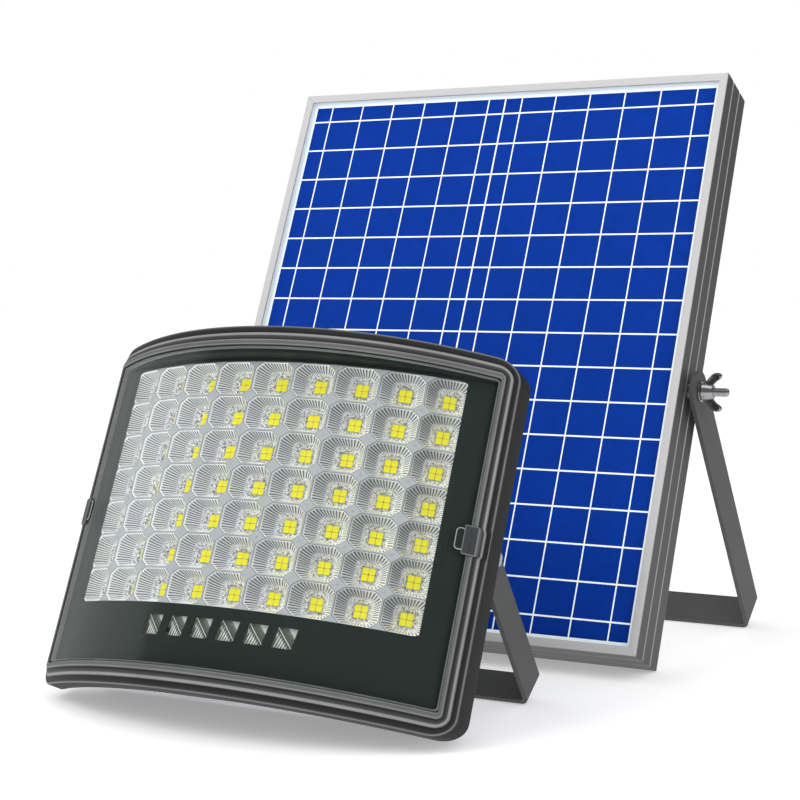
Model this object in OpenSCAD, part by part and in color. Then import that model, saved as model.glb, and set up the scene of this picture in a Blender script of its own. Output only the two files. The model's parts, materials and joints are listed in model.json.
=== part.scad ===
// Solar flood light: a bowed lamp head and a framed solar panel, each leaning back on its own U bracket.
// Both units stand on the floor at z = 0, fronts towards -Y, the panel straight behind the lamp.

/* [Lamp head] */
// Width of the lamp head over the bezel
lamp_w = 286; // [238:1:344]
// Height of the lamp head over the bezel
lamp_h = 222; // [185:1:267]
// Radius of the front glass, bowed about the head's upright axis
bow_r = 220; // [212:1:300]
// How far the lamp head leans back from upright
lamp_tilt = 24; // [10:1:35]
// Width of the bezel above and below the glass
bezel_rim = 13.5; // [13:0.5:18]
// Width of the bezel beside the glass
side_rim = 8; // [8:0.5:14]
// Depth of the bezel behind the face of the glass
bezel_depth = 14; // [12:0.5:16]
// Rounding of the bezel's outer corners
bezel_corner = 13; // [8:1:18]
// Width of the ledge that carries the edge of the glass
ledge_w = 2.5; // [2:0.5:4]
// Thickness of the front glass
glass_t = 4; // [3:0.5:5]
// Thickness of the gasket under the glass
gasket_t = 1.5; // [1:0.25:2.5]
// Gap all round a piece that is laid into another
fit_gap = 0.3; // [0.2:0.05:0.5]

/* [Light grid] */
// Radius of the light grid's own bow, flatter than the glass
grid_bow_r = 275; // [262:1:300]
// How far the crown of the grid's face lies behind the crown of the glass
grid_depth = 16; // [15:0.5:20]
// Reflector cups side by side
cup_columns = 9; // [7:1:11]
// Reflector cups one above the other
cup_rows = 7; // [5:1:8]
// Dark border beside the cups, measured from the edge of the glass
mask_side = 14.5; // [14:0.5:24]
// Dark border above the cups
mask_top = 4.2; // [4.2:0.1:10]
// Dark band below the cups, with the indicator windows
mask_bottom = 38.9; // [34:0.1:48]
// Depth of the reflector cups
cup_depth = 12.5; // [10:0.5:15]
// Radius of the opening at the bottom of a cup
cup_bottom_r = 5.8; // [5.8:0.1:6.5]
// Thinnest web between two cups
cup_web = 0.7; // [0.5:0.1:1.5]
// Side of one light-emitting chip; four sit in each package
chip_side = 3.5; // [3:0.1:3.5]
// Gap between the chips of a package
chip_gap = 0.5; // [0.3:0.1:0.6]
// Number of indicator windows in the band
indicator_count = 6; // [4:1:7]
// Width of an indicator window
indicator_w = 14.5; // [9:0.5:15]
// Height of an indicator window
indicator_h = 12; // [7:0.5:12]
// Spacing of the indicator windows
indicator_pitch = 18.2; // [16:0.2:21]
// Height of the indicator windows above the lower edge of the glass
indicator_rise = 26; // [22:0.5:27.5]

/* [Lamp body] */
// Thickness of the circuit board that carries the chips
board_t = 1.6; // [1.2:0.2:2]
// Thickness of the aluminium plate behind the board
carrier_t = 2; // [1.5:0.5:3]
// How far each side of the rear shell lies inside the edge of the head
shell_side_in = 16.5; // [16.5:0.5:20]
// How far the top and bottom of the rear shell lie inside the edge of the head
shell_end_in = 11; // [10:0.5:12]
// Depth of the rear shell behind the standing corners
shell_back = 20; // [18:1:24]
// Wall of the rear shell
shell_wall = 3.5; // [3:0.5:4]
// Thickness of the shell's mounting flange
flange_t = 4; // [3:0.5:5]
// Number of cooling fins on the back
fin_count = 13; // [7:2:17]
// Height of the cooling fins
fin_rise = 6; // [3:0.5:8]
// Radius of a battery cell
cell_r = 16; // [9:0.5:16]
// Length of a battery cell
cell_len = 70; // [60:1:72]
// Battery cells side by side
cell_count = 4; // [2:1:4]

/* [Solar panel] */
// Width of the panel over its frame
panel_w = 350; // [290:1:420]
// Height of the panel over its frame
panel_h = 425; // [350:1:510]
// Depth of the panel frame
panel_d = 42; // [36:1:50]
// How far the panel leans back from upright
panel_tilt = 24; // [10:1:35]
// Wall of the frame rails
rail_wall = 1.8; // [1.4:0.2:2.4]
// Width of the hollow part of a rail
rail_box = 12; // [11:0.5:16]
// Width of the rear flange of a rail
rail_flange = 18; // [16:0.5:24]
// Width of the front lip over the panel's edge
lip_w = 6; // [5:0.5:9]
// Depth of the two grooves along the outside of a rail
groove_depth = 0.8; // [0.4:0.1:0.8]
// Width of the grooves
groove_w = 1.6; // [1:0.2:2.4]
// Thickness of the panel's glass
panel_glass_t = 3.2; // [2.5:0.1:4]
// Thickness of the sheet with the solar cells
cell_sheet_t = 0.9; // [0.6:0.1:1.2]
// Thickness of the backsheet
backsheet_t = 0.4; // [0.3:0.1:0.6]
// Height of the panel's pivot above its lower edge
panel_pivot_up = 190; // [150:1:205]
// How far the lamp stands to the right of the panel's middle
lamp_side = 8; // [-40:1:40]
// Distance between the two units' standing edges
unit_gap = 235; // [220:0.5:300]

/* [Brackets and fasteners] */
// Width of the lamp bracket's strip
lamp_strip_w = 22; // [18:1:24]
// Width of the panel bracket's strip
panel_strip_w = 28; // [22:1:32]
// Thickness of both brackets' strip
strip_t = 3; // [2:0.5:3.5]
// Lean of the lamp bracket's arms from upright
lamp_arm_lean = 35; // [28:1:40]
// Lean of the panel bracket's arms from upright
panel_arm_lean = 36; // [30:1:42]
// Radius of the pivot bolts
bolt_r = 3; // [2.5:0.1:3.2]
// Radial clearance of a pivot bolt in its hole
bolt_gap = 0.08; // [0.05:0.01:0.1]
// Sideways gap between pieces that turn against each other
turn_gap = 0.3; // [0.2:0.05:0.5]
// Length of the spacer between the panel frame and its bracket
spacer_len = 4.7; // [3:0.1:8]
// Radius of the outer fixing holes in both brackets
fix_hole_r = 3.3; // [2.2:0.1:3.5]
// Radius of the centre fixing hole in both brackets
centre_hole_r = 4.5; // [3.5:0.1:5.5]
// Distance between the outer fixing holes of the lamp bracket
lamp_fix_pitch = 120; // [60:1:180]
// Distance between the outer fixing holes of the panel bracket
panel_fix_pitch = 160; // [80:1:240]
// Radius of the hole for the lead in both glands
lead_hole_r = 2.7; // [2:0.1:3]
// Reach of the wing nut's wings from the bolt
wing_reach = 13.4; // [11:0.2:16]

/* [Hidden] */
$fn = 96;
eps = 0.01;
cut = 1;

// Radii of the layers of the lamp head from the front to the back. The glass, bezel and shell share
// one upright axis, and the mask, reflector and boards have their own.
glass_back_r = bow_r - glass_t;
ledge_r = glass_back_r - gasket_t;
bezel_back_r = bow_r - bezel_depth;
body_gasket_t = 1.2;
flange_front_r = bezel_back_r - body_gasket_t;
flange_back_r = flange_front_r - flange_t;
mask_t = 1;
face_r = grid_bow_r;
mask_front_r = face_r + mask_t;
board_front_r = face_r - cup_depth;
board_back_r = board_front_r - board_t;
carrier_back_r = board_back_r - carrier_t;
// The bezel's steps: set-back of each step's face, and its inset from the outer edge.
outer_step_r = bow_r - 1.8;
middle_step_r = bow_r - 0.6;
inner_step_r = bow_r + 0.8;
middle_step_in = 5;
inner_step_in = 9.5;
side_share = side_rim / bezel_rim;

// The axis lies so far back that the bezel's lower rear corners stand at y = 0.
axis_y = sqrt(bezel_back_r * bezel_back_r - lamp_w * lamp_w / 4);
mid_z = lamp_h / 2;
glass_w = lamp_w - 2 * side_rim;
glass_h = lamp_h - 2 * bezel_rim;
glass_corner = 3;
open_w = glass_w - 2 * ledge_w;
open_h = glass_h - 2 * ledge_w;
shell_w = lamp_w - 2 * shell_side_in;
shell_h = lamp_h - 2 * shell_end_in;
plate_w = min(open_w, shell_w - 2 * shell_wall) - 2 * fit_gap;
plate_h = open_h - 2 * fit_gap;
plate_corner = 5;

// The grid's crown lies grid_depth behind the glass's, or farther where the plate's sides would meet the glass.
plate_edge = plate_w / 2;
edge_gap = 1;
grid_sink = max(grid_depth, bow_r - grid_bow_r + sqrt(mask_front_r * mask_front_r - plate_edge * plate_edge)
    - sqrt(glass_back_r * glass_back_r - plate_edge * plate_edge) + edge_gap);
grid_axis_y = axis_y - bow_r + grid_sink + grid_bow_r;

// The grid of cups.
window_w = glass_w - 2 * mask_side;
window_h = glass_h - mask_top - mask_bottom;
window_mid_z = bezel_rim + mask_bottom + window_h / 2;
column_angle = 2 * asin(window_w / 2 / face_r) / cup_columns;
row_pitch = window_h / cup_rows;
cup_top_r = min(row_pitch, 2 * face_r * sin(column_angle / 2)) / 2 - cup_web / 2;
column_angles = [for (i = [0:cup_columns - 1]) (i - (cup_columns - 1) / 2) * column_angle];
row_heights = [for (j = [0:cup_rows - 1]) window_mid_z + (j - (cup_rows - 1) / 2) * row_pitch];
window_corner = 8;
window_grow = 0.6;
indicator_z = bezel_rim + indicator_rise;
indicator_angle = indicator_pitch / face_r * 180 / PI;
indicator_angles = [for (i = [0:indicator_count - 1])
    (i - (indicator_count - 1) / 2) * indicator_angle];
package_side = 2 * chip_side + chip_gap + 0.5;
package_t = 0.5;
chip_t = 0.4;

// The clips that hook over the glass, halfway up both sides.
clip_h = 17;
clip_w = side_rim - 1.2;
clip_x = glass_w / 2 + 0.4;
clip_tab = 3.5;
clip_t = 1.2;

// The rear shell.
shell_lo = mid_z - shell_h / 2;
shell_corner = 14;
back_inside = shell_back - shell_wall;
cavity_w = plate_w - 2 * 6;
cavity_h = plate_h - 2 * 6;
flange_in = 3;
screw_r = 1.8;
screw_head_r = 2.5;
screw_head_t = 2.2;
screw_len = 11;
screw_inset = 6;
side_screw_angle = asin((lamp_w / 2 - screw_inset) / bezel_back_r);
pivot_y = shell_back - 10;
boss_r = 9;
boss_out = 2;
fin_t = 2;
fin_h = shell_h - 2 * 24;
fin_pitch = (shell_w - 2 * shell_corner) / (fin_count - 1);
gland_r = 7;
gland_len = 9;
gland_x = -shell_w / 4;
gland_z = mid_z - cavity_h / 2 + gland_r - 2.3;

// The battery and the control board, laid against the shell's back wall.
cell_pitch = 2 * cell_r + 1;
cell_mid_z = mid_z + 14;
cell_y = back_inside - cell_r - 2.5;
holder_wall = 2;
control_w = 96;
control_h = 40;
control_z = shell_lo + shell_wall + 11;
standoff = 6;

// The brackets. An arm runs down and back from the pivot until its strip's front edge meets the floor.
lamp_pivot = [0, pivot_y * cos(lamp_tilt) + mid_z * sin(lamp_tilt),
    mid_z * cos(lamp_tilt) - pivot_y * sin(lamp_tilt)];
panel_pivot_y = -panel_d / 2;
panel_pivot = [0, panel_pivot_y * cos(panel_tilt) + panel_pivot_up * sin(panel_tilt),
    panel_pivot_up * cos(panel_tilt) - panel_pivot_y * sin(panel_tilt)];
lamp_arm = (lamp_pivot[2] - lamp_strip_w / 2 * sin(lamp_arm_lean)) / cos(lamp_arm_lean);
panel_arm = (panel_pivot[2] - panel_strip_w / 2 * sin(panel_arm_lean)) / cos(panel_arm_lean);
lamp_arm_in = shell_w / 2 + boss_out + turn_gap;
panel_arm_in = panel_w / 2 + spacer_len + turn_gap;
bend_r = 5;
washer_t = 1.2;
washer_r = 6.5;
head_t = 4;
head_r = 5.2;

// The two units stand on the floor, centred together on the origin from front to back.
lamp_front = (inner_step_r - axis_y) * cos(lamp_tilt) - inner_step_in * sin(lamp_tilt);
panel_rear = panel_pivot[1] + panel_arm * sin(panel_arm_lean)
    + panel_strip_w / 2 * cos(panel_arm_lean);
lamp_y = lamp_front - (lamp_front + unit_gap + panel_rear) / 2;
panel_y = lamp_y + unit_gap;

// The panel's layers, measured forwards from the frame's rear face.
lip_t = 1.6;
lip_gap = 0.2;
shelf_v = panel_d - lip_t - lip_gap - panel_glass_t - cell_sheet_t - backsheet_t;
backsheet_v = shelf_v + backsheet_t;
cells_v = backsheet_v + cell_sheet_t;
glass_v = cells_v + panel_glass_t;
sheet_gap = 0.5;
band = (panel_d - 2 * groove_w) / 3;
key_leg = 30;
key_gap = 0.2;
box_w = 90;
box_h = 62;
box_d = 16;
box_z = panel_h - 100;
box_wall = 2.5;
lid_t = 2;
nut_hub_r = 6;
nut_hub_len = 8;
wing_t = 2.4;
bolt_out = 20;
nut_x = panel_arm_in + strip_t + 2 * turn_gap + washer_t;

// ---- Shared shapes ----

module round_rect(w, h, r) {
    square([w - 2 * r, h], center = true);
    square([w, h - 2 * r], center = true);
    for (x = [-1, 1], y = [-1, 1])
        translate([x * (w / 2 - r), y * (h / 2 - r)]) circle(r = r);
}

// A bowed plate between two radii, seen from the front as a rectangle with rounded corners.
module bowed_plate(r_in, r_out, w, h, corner, z = mid_z, axis = axis_y) {
    intersection() {
        translate([0, axis, z - h / 2]) difference() {
            cylinder(r = r_out, h = h);
            translate([0, 0, -cut]) cylinder(r = r_in, h = h + 2 * cut);
        }
        translate([0, axis, z])
            rotate([90, 0, 0])
                linear_extrude(height = r_out + cut) round_rect(w, h, corner);
    }
}

// A block of the bowed head between two radii and two distances from the middle, on one side.
module bowed_block(side, r_in, r_out, x_in, x_out, z, h) {
    intersection() {
        translate([0, axis_y, z - h / 2]) difference() {
            cylinder(r = r_out, h = h);
            translate([0, 0, -cut]) cylinder(r = r_in, h = h + 2 * cut);
        }
        translate([side > 0 ? x_in : -x_out, axis_y - r_out - cut, z - h])
            cube([x_out - x_in, r_out, 2 * h]);
    }
}

// Puts its children at a radius and angle of the bow, with their own +Z pointing outwards.
module on_bow(angle, r, z, axis = axis_y) {
    translate([0, axis, z]) rotate([0, 0, angle]) translate([0, -r, 0]) rotate([90, 0, 0]) children();
}

module place_lamp() {
    translate([lamp_side, lamp_y, 0]) rotate([-lamp_tilt, 0, 0]) children();
}

module place_panel() {
    translate([0, panel_y, 0]) rotate([-panel_tilt, 0, 0]) children();
}

// Turns a cylinder's own +Z to the unit's +X or -X.
module sideways(side) {
    rotate([0, side * 90, 0]) children();
}

// ---- Lamp head ----

module bezel_steps() {
    bowed_plate(bezel_back_r, outer_step_r, lamp_w, lamp_h, bezel_corner);
    bowed_plate(bezel_back_r, middle_step_r, lamp_w - 2 * middle_step_in * side_share,
        lamp_h - 2 * middle_step_in, bezel_corner - 3);
    bowed_plate(bezel_back_r, inner_step_r, lamp_w - 2 * inner_step_in * side_share,
        lamp_h - 2 * inner_step_in, bezel_corner - 6);
}

module screw_places() {
    for (side = [-1, 1], z = [-1, 1])
        on_bow(side * side_screw_angle, 0, mid_z + z * (lamp_h / 2 - 30)) children();
    for (row = [-1, 1], a = [-1, 0, 1])
        on_bow(a * side_screw_angle * 0.6, 0, mid_z + row * (lamp_h / 2 - screw_inset)) children();
}

module bezel() {
    color([0.26, 0.27, 0.27]) place_lamp() difference() {
        bezel_steps();
        bowed_plate(ledge_r, inner_step_r + cut, glass_w + 2 * fit_gap, glass_h + 2 * fit_gap,
            glass_corner + fit_gap);
        bowed_plate(bezel_back_r - cut, inner_step_r + cut, open_w, open_h, plate_corner + fit_gap);
        for (side = [-1, 1])
            bowed_block(side, outer_step_r - 1, inner_step_r + cut, glass_w / 2, clip_x + clip_w + 0.4,
                mid_z, clip_h + 0.8);
        screw_places() translate([0, 0, bezel_back_r - cut]) cylinder(r = screw_r, h = screw_len - 4);
    }
}

module front_glass() {
    color([0.75, 0.85, 0.85, 0.4]) place_lamp()
        bowed_plate(glass_back_r, bow_r, glass_w, glass_h, glass_corner);
}

module glass_gasket() {
    color([0.1, 0.1, 0.1]) place_lamp() difference() {
        bowed_plate(ledge_r, glass_back_r, glass_w, glass_h, glass_corner);
        bowed_plate(ledge_r - cut, glass_back_r + cut, open_w + 1, open_h + 1, plate_corner);
    }
}

// One layer of the light grid between two radii, over its full width and height.
module grid_plate(r_in, r_out) {
    bowed_plate(r_in, r_out, plate_w, plate_h, plate_corner, mid_z, grid_axis_y);
}

module on_grid(angle, r, z) {
    on_bow(angle, r, z, grid_axis_y) children();
}

// The dark plate around the cups, with one large window and the row of indicator windows.
module mask_plate() {
    color([0.17, 0.21, 0.2]) place_lamp() difference() {
        grid_plate(face_r, mask_front_r);
        bowed_plate(face_r - cut, mask_front_r + cut, window_w + window_grow, window_h + window_grow,
            window_corner, window_mid_z, grid_axis_y);
        for (a = indicator_angles)
            on_grid(a, face_r, indicator_z)
                linear_extrude(height = 6 * mask_t, center = true)
                    polygon([[-indicator_w / 2, -indicator_h / 2], [indicator_w / 2 - 2, -indicator_h / 2],
                        [indicator_w / 2, indicator_h / 2], [-indicator_w / 2 + 2, indicator_h / 2]]);
    }
}

module cup_cutter() {
    slope = (cup_top_r - cup_bottom_r) / cup_depth;
    translate([0, 0, -cut])
        cylinder(r1 = cup_bottom_r - slope * cut, r2 = cup_top_r + slope * cut, h = cup_depth + 2 * cut);
}

// One moulded plate holds every cup, with a row of small pockets for the indicators.
module reflector_plate() {
    pocket_r = indicator_h / 2;
    color([0.85, 0.86, 0.88]) place_lamp() difference() {
        grid_plate(board_front_r, face_r);
        for (a = column_angles, z = row_heights)
            on_grid(a, board_front_r, z) cup_cutter();
        for (a = indicator_angles)
            on_grid(a, board_front_r, indicator_z) translate([0, 0, -cut])
                cylinder(r1 = pocket_r / 2, r2 = pocket_r, h = cup_depth + 2 * cut);
    }
}

module led_board() {
    color([0.9, 0.9, 0.88]) place_lamp() grid_plate(board_back_r, board_front_r);
}

// A package with four square chips, drawn with its back on z = 0.
module led_package() {
    step = (chip_side + chip_gap) / 2;
    translate([-package_side / 2, -package_side / 2, 0]) cube([package_side, package_side, package_t]);
    for (x = [-1, 1], y = [-1, 1])
        translate([x * step - chip_side / 2, y * step - chip_side / 2, package_t - eps])
            cube([chip_side, chip_side, chip_t]);
}

module led_packages() {
    color([0.92, 0.9, 0.2]) place_lamp()
        for (a = column_angles, z = row_heights)
            on_grid(a, board_front_r, z) led_package();
}

module indicator_leds() {
    color([0.8, 0.85, 0.75]) place_lamp()
        for (a = indicator_angles)
            on_grid(a, board_front_r, indicator_z) cylinder(r = 1.5, h = 1.2);
}

module carrier_plate() {
    color([0.75, 0.76, 0.78]) place_lamp() grid_plate(carrier_back_r, board_back_r);
}

module body_gasket() {
    color([0.1, 0.1, 0.1]) place_lamp() difference() {
        bowed_plate(flange_front_r, bezel_back_r, lamp_w - 2 * flange_in, lamp_h - 2 * flange_in,
            bezel_corner - 3);
        bowed_plate(flange_front_r - cut, bezel_back_r + cut, plate_w + 2 * fit_gap,
            plate_h + 2 * fit_gap, plate_corner);
        screw_places() translate([0, 0, flange_front_r - cut]) cylinder(r = screw_r + 0.3, h = 4 * cut);
    }
}

// The body of the rear shell: a straight-sided box whose front follows the bow.
module shell_box(w, h, corner, y_back, r_front, axis) {
    intersection() {
        translate([0, axis, 0]) cylinder(r = r_front, h = lamp_h);
        translate([0, y_back, mid_z])
            rotate([90, 0, 0])
                linear_extrude(height = r_front) round_rect(w, h, corner);
    }
}

module rear_shell() {
    color([0.24, 0.25, 0.25]) place_lamp() difference() {
        union() {
            bowed_plate(flange_back_r, flange_front_r, lamp_w - 2 * flange_in, lamp_h - 2 * flange_in,
                bezel_corner - 3);
            shell_box(shell_w, shell_h, shell_corner, shell_back, flange_front_r, axis_y);
            for (i = [0:fin_count - 1])
                translate([(i - (fin_count - 1) / 2) * fin_pitch - fin_t / 2, shell_back - eps,
                    mid_z - fin_h / 2])
                    cube([fin_t, fin_rise, fin_h]);
            for (side = [-1, 1])
                translate([side * (shell_w / 2 - cut), pivot_y, mid_z])
                    sideways(side) cylinder(r = boss_r, h = boss_out + cut);
        }
        bowed_plate(carrier_back_r, grid_bow_r + grid_sink, plate_w + 2 * fit_gap,
            plate_h + 2 * fit_gap, plate_corner, mid_z, grid_axis_y);
        shell_box(cavity_w, cavity_h, plate_corner, back_inside, carrier_back_r + cut, grid_axis_y);
        for (side = [-1, 1])
            translate([side * (shell_w / 2 - 12), pivot_y, mid_z])
                sideways(side) cylinder(r = bolt_r, h = 12 + boss_out + cut);
        translate([gland_x, back_inside - cut, gland_z])
            rotate([-90, 0, 0]) cylinder(r = gland_r - 2, h = shell_wall + fin_rise + 2 * cut);
        translate([gland_x, shell_back, gland_z])
            rotate([-90, 0, 0]) cylinder(r = gland_r + 2, h = fin_rise + cut);
        screw_places() translate([0, 0, flange_back_r - cut]) cylinder(r = screw_r + 0.3, h = 8);
    }
}

module shell_screws() {
    color([0.6, 0.6, 0.6]) place_lamp() screw_places() {
        translate([0, 0, flange_back_r - screw_head_t]) difference() {
            cylinder(r = screw_head_r, h = screw_head_t);
            translate([0, 0, -cut]) cylinder(r = 1.3, h = cut + 1, $fn = 6);
        }
        translate([0, 0, flange_back_r - eps]) cylinder(r = screw_r - 0.05, h = screw_len);
    }
}

module battery_cells() {
    color([0.2, 0.35, 0.65]) place_lamp()
        for (i = [0:cell_count - 1])
            translate([(i - (cell_count - 1) / 2) * cell_pitch, cell_y, cell_mid_z - cell_len / 2]) {
                cylinder(r = cell_r, h = cell_len);
                translate([0, 0, cell_len - eps]) cylinder(r = cell_r / 3, h = 1.5);
            }
}

// Two strips with a seat for each cell end, standing on the shell's back wall.
module battery_holder() {
    w = cell_count * cell_pitch + 2 * holder_wall;
    color([0.15, 0.15, 0.16]) place_lamp()
        for (end = [-1, 1])
            translate([0, 0, cell_mid_z + end * (cell_len / 2 - 3)]) difference() {
                translate([-w / 2, cell_y, -5]) cube([w, back_inside - cell_y, 10]);
                for (i = [0:cell_count - 1])
                    translate([(i - (cell_count - 1) / 2) * cell_pitch, cell_y, -5 - cut])
                        cylinder(r = cell_r + 0.2, h = 10 + 2 * cut);
            }
}

module control_board() {
    board_y = back_inside - standoff;
    color([0.1, 0.4, 0.2]) place_lamp() {
        translate([-control_w / 2, board_y - board_t, control_z]) cube([control_w, board_t, control_h]);
        for (x = [-1, 1], z = [6, control_h - 6])
            translate([x * (control_w / 2 - 6), board_y - eps, control_z + z])
                rotate([-90, 0, 0]) cylinder(r = 2.5, h = standoff + eps);
        translate([-30, board_y - board_t - 8, control_z + 8]) cube([18, 8 + eps, 18]);
        translate([0, board_y - board_t - 5, control_z + 10]) cube([12, 5 + eps, 12]);
        for (x = [22, 33])
            translate([x, board_y - board_t + eps, control_z + 14])
                rotate([90, 0, 0]) cylinder(r = 4, h = 10);
    }
}

// A cable gland with a hexagonal body and a round cap, its back on z = 0.
module gland(stem) {
    difference() {
        union() {
            translate([0, 0, -stem]) cylinder(r = gland_r - 2.1, h = stem + eps);
            cylinder(r = gland_r, h = 4, $fn = 6);
            translate([0, 0, 4 - eps]) cylinder(r1 = gland_r - 1, r2 = gland_r - 2.5, h = gland_len - 4);
        }
        translate([0, 0, -stem - cut]) cylinder(r = lead_hole_r, h = stem + gland_len + 2 * cut);
    }
}

module lamp_gland() {
    color([0.12, 0.12, 0.12]) place_lamp()
        translate([gland_x, shell_back, gland_z]) rotate([-90, 0, 0]) gland(shell_wall + 2);
}

// A clip lies in its notch in the bezel and hooks over the edge of the glass.
module glass_clip(side) {
    color([0.42, 0.43, 0.44]) place_lamp() {
        bowed_block(side, outer_step_r - 1, bow_r + turn_gap + clip_t, clip_x, clip_x + clip_w,
            mid_z, clip_h);
        bowed_block(side, bow_r + turn_gap, bow_r + turn_gap + clip_t, clip_x - clip_tab,
            clip_x + eps, mid_z, clip_h);
    }
}

module glass_clip_left() {
    glass_clip(-1);
}

module glass_clip_right() {
    glass_clip(1);
}

// ---- Brackets ----

// A U of flat strip, drawn with its pivot axis on X and its arms hanging down.
module u_bracket(inside, arm, w, fix_pitch) {
    outside = inside + strip_t;
    difference() {
        intersection() {
            translate([0, w / 2, 0]) rotate([90, 0, 0]) linear_extrude(height = w) difference() {
                translate([0, (w - arm) / 2]) round_rect(2 * outside, arm + w, bend_r);
                translate([0, (w - arm) / 2 + strip_t])
                    round_rect(2 * inside, arm + w, bend_r - strip_t);
            }
            translate([-outside - cut, 0, 0]) rotate([90, 0, 90]) linear_extrude(height = 2 * (outside + cut))
                union() {
                    circle(r = w / 2);
                    translate([-w / 2, -arm - cut]) square([w, arm + cut]);
                }
        }
        for (side = [-1, 1])
            translate([side * (inside - cut), 0, 0])
                sideways(side) cylinder(r = bolt_r + bolt_gap, h = strip_t + 2 * cut);
        translate([0, 0, -arm - cut]) cylinder(r = centre_hole_r, h = strip_t + 2 * cut);
        for (side = [-1, 1])
            translate([side * fix_pitch / 2, 0, -arm - cut])
                cylinder(r = fix_hole_r, h = strip_t + 2 * cut);
    }
}

module lamp_bracket() {
    color([0.36, 0.37, 0.36]) translate([lamp_side, lamp_y, 0] + lamp_pivot)
        rotate([lamp_arm_lean, 0, 0]) u_bracket(lamp_arm_in, lamp_arm, lamp_strip_w, lamp_fix_pitch);
}

module panel_bracket() {
    color([0.42, 0.42, 0.42]) translate([0, panel_y, 0] + panel_pivot)
        rotate([panel_arm_lean, 0, 0]) u_bracket(panel_arm_in, panel_arm, panel_strip_w, panel_fix_pitch);
}

module washer(r_hole, r_out, t) {
    difference() {
        cylinder(r = r_out, h = t);
        translate([0, 0, -cut]) cylinder(r = r_hole, h = t + 2 * cut);
    }
}

module lamp_pivot_bolts() {
    head_x = lamp_arm_in + strip_t + turn_gap + washer_t;
    color([0.7, 0.7, 0.72]) place_lamp()
        for (side = [-1, 1])
            translate([0, pivot_y, mid_z]) sideways(side) {
                translate([0, 0, shell_w / 2 - 11])
                    cylinder(r = bolt_r, h = head_x - shell_w / 2 + 11 + eps);
                translate([0, 0, head_x]) cylinder(r = head_r, h = head_t, $fn = 6);
            }
}

module lamp_pivot_washers() {
    color([0.7, 0.7, 0.72]) place_lamp()
        for (side = [-1, 1])
            translate([side * (lamp_arm_in + strip_t + turn_gap), pivot_y, mid_z])
                sideways(side) washer(bolt_r + bolt_gap, head_r + 0.6, washer_t);
}

// ---- Solar panel ----

// Section of a frame rail: x runs inwards from the outer face, y runs forwards as -y.
module rail_section() {
    difference() {
        union() {
            square([rail_wall, panel_d]);
            square([rail_flange, rail_wall]);
            square([lip_w / 2, panel_d]);
            translate([0, panel_d - lip_t]) square([lip_w, lip_t]);
            square([rail_box, shelf_v]);
        }
        translate([rail_wall, rail_wall])
            square([rail_box - 2 * rail_wall, shelf_v - 2 * rail_wall]);
        translate([rail_wall, shelf_v]) square([lip_w, panel_d - lip_t - shelf_v]);
        for (i = [1, 2])
            translate([-cut, i * band + (i - 1) * groove_w]) square([cut + groove_depth, groove_w]);
    }
}

// A rail standing on z = 0 at x = 0, with both ends mitred.
module rail(len) {
    reach = rail_flange + cut;
    intersection() {
        linear_extrude(height = len) mirror([0, 1]) rail_section();
        translate([0, cut, 0]) rotate([90, 0, 0]) linear_extrude(height = panel_d + 2 * cut)
            polygon([[0, 0], [reach, reach], [reach, len - reach], [0, len]]);
    }
}

module bolt_holes() {
    for (side = [-1, 1])
        translate([side * (panel_w / 2 - rail_flange), panel_pivot_y, panel_pivot_up])
            sideways(side) cylinder(r = bolt_r + bolt_gap, h = rail_flange + cut);
}

module frame_left() {
    color([0.8, 0.8, 0.8]) place_panel() difference() {
        translate([-panel_w / 2, 0, 0]) rail(panel_h);
        bolt_holes();
    }
}

module frame_right() {
    color([0.8, 0.8, 0.8]) place_panel() difference() {
        mirror([1, 0, 0]) translate([-panel_w / 2, 0, 0]) rail(panel_h);
        bolt_holes();
    }
}

module frame_top() {
    color([0.8, 0.8, 0.8]) place_panel()
        translate([-panel_w / 2, 0, panel_h]) rotate([0, 90, 0]) rail(panel_w);
}

module frame_bottom() {
    color([0.8, 0.8, 0.8]) place_panel()
        translate([-panel_w / 2, 0, 0]) mirror([0, 0, 1]) rotate([0, 90, 0]) rail(panel_w);
}

// An L inside the hollow of two rails, at one corner of the frame.
module corner_key() {
    lo = rail_wall + key_gap;
    t = rail_box - 2 * lo;
    translate([0, -lo, 0]) rotate([90, 0, 0]) linear_extrude(height = shelf_v - 2 * lo) {
        translate([lo, lo]) square([key_leg, t]);
        translate([lo, lo]) square([t, key_leg]);
    }
}

module corner_keys() {
    color([0.55, 0.56, 0.58]) place_panel()
        for (x = [0, 1], z = [0, 1])
            translate([0, 0, z * panel_h]) mirror([x, 0, 0]) mirror([0, 0, z])
                translate([-panel_w / 2, 0, 0]) corner_key();
}

// One layer of the laminate, from v_lo to v_hi in front of the frame's rear face.
module laminate(v_lo, v_hi) {
    w = panel_w - 2 * (rail_wall + sheet_gap);
    h = panel_h - 2 * (rail_wall + sheet_gap);
    translate([-w / 2, -v_hi, (panel_h - h) / 2]) cube([w, v_hi - v_lo, h]);
}

module panel_glass() {
    color([0.75, 0.85, 0.9, 0.4]) place_panel() laminate(cells_v, glass_v);
}

module cell_sheet() {
    color([0.02, 0.2, 0.62]) place_panel() laminate(backsheet_v, cells_v);
}

module backsheet() {
    color([0.93, 0.93, 0.93]) place_panel() laminate(shelf_v, backsheet_v);
}

module junction_box() {
    color([0.1, 0.1, 0.1]) place_panel() difference() {
        translate([-box_w / 2, -shelf_v, box_z - box_h / 2]) cube([box_w, box_d, box_h]);
        translate([-box_w / 2 + box_wall, -shelf_v + box_wall, box_z - box_h / 2 + box_wall])
            cube([box_w - 2 * box_wall, box_d, box_h - 2 * box_wall]);
    }
}

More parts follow.
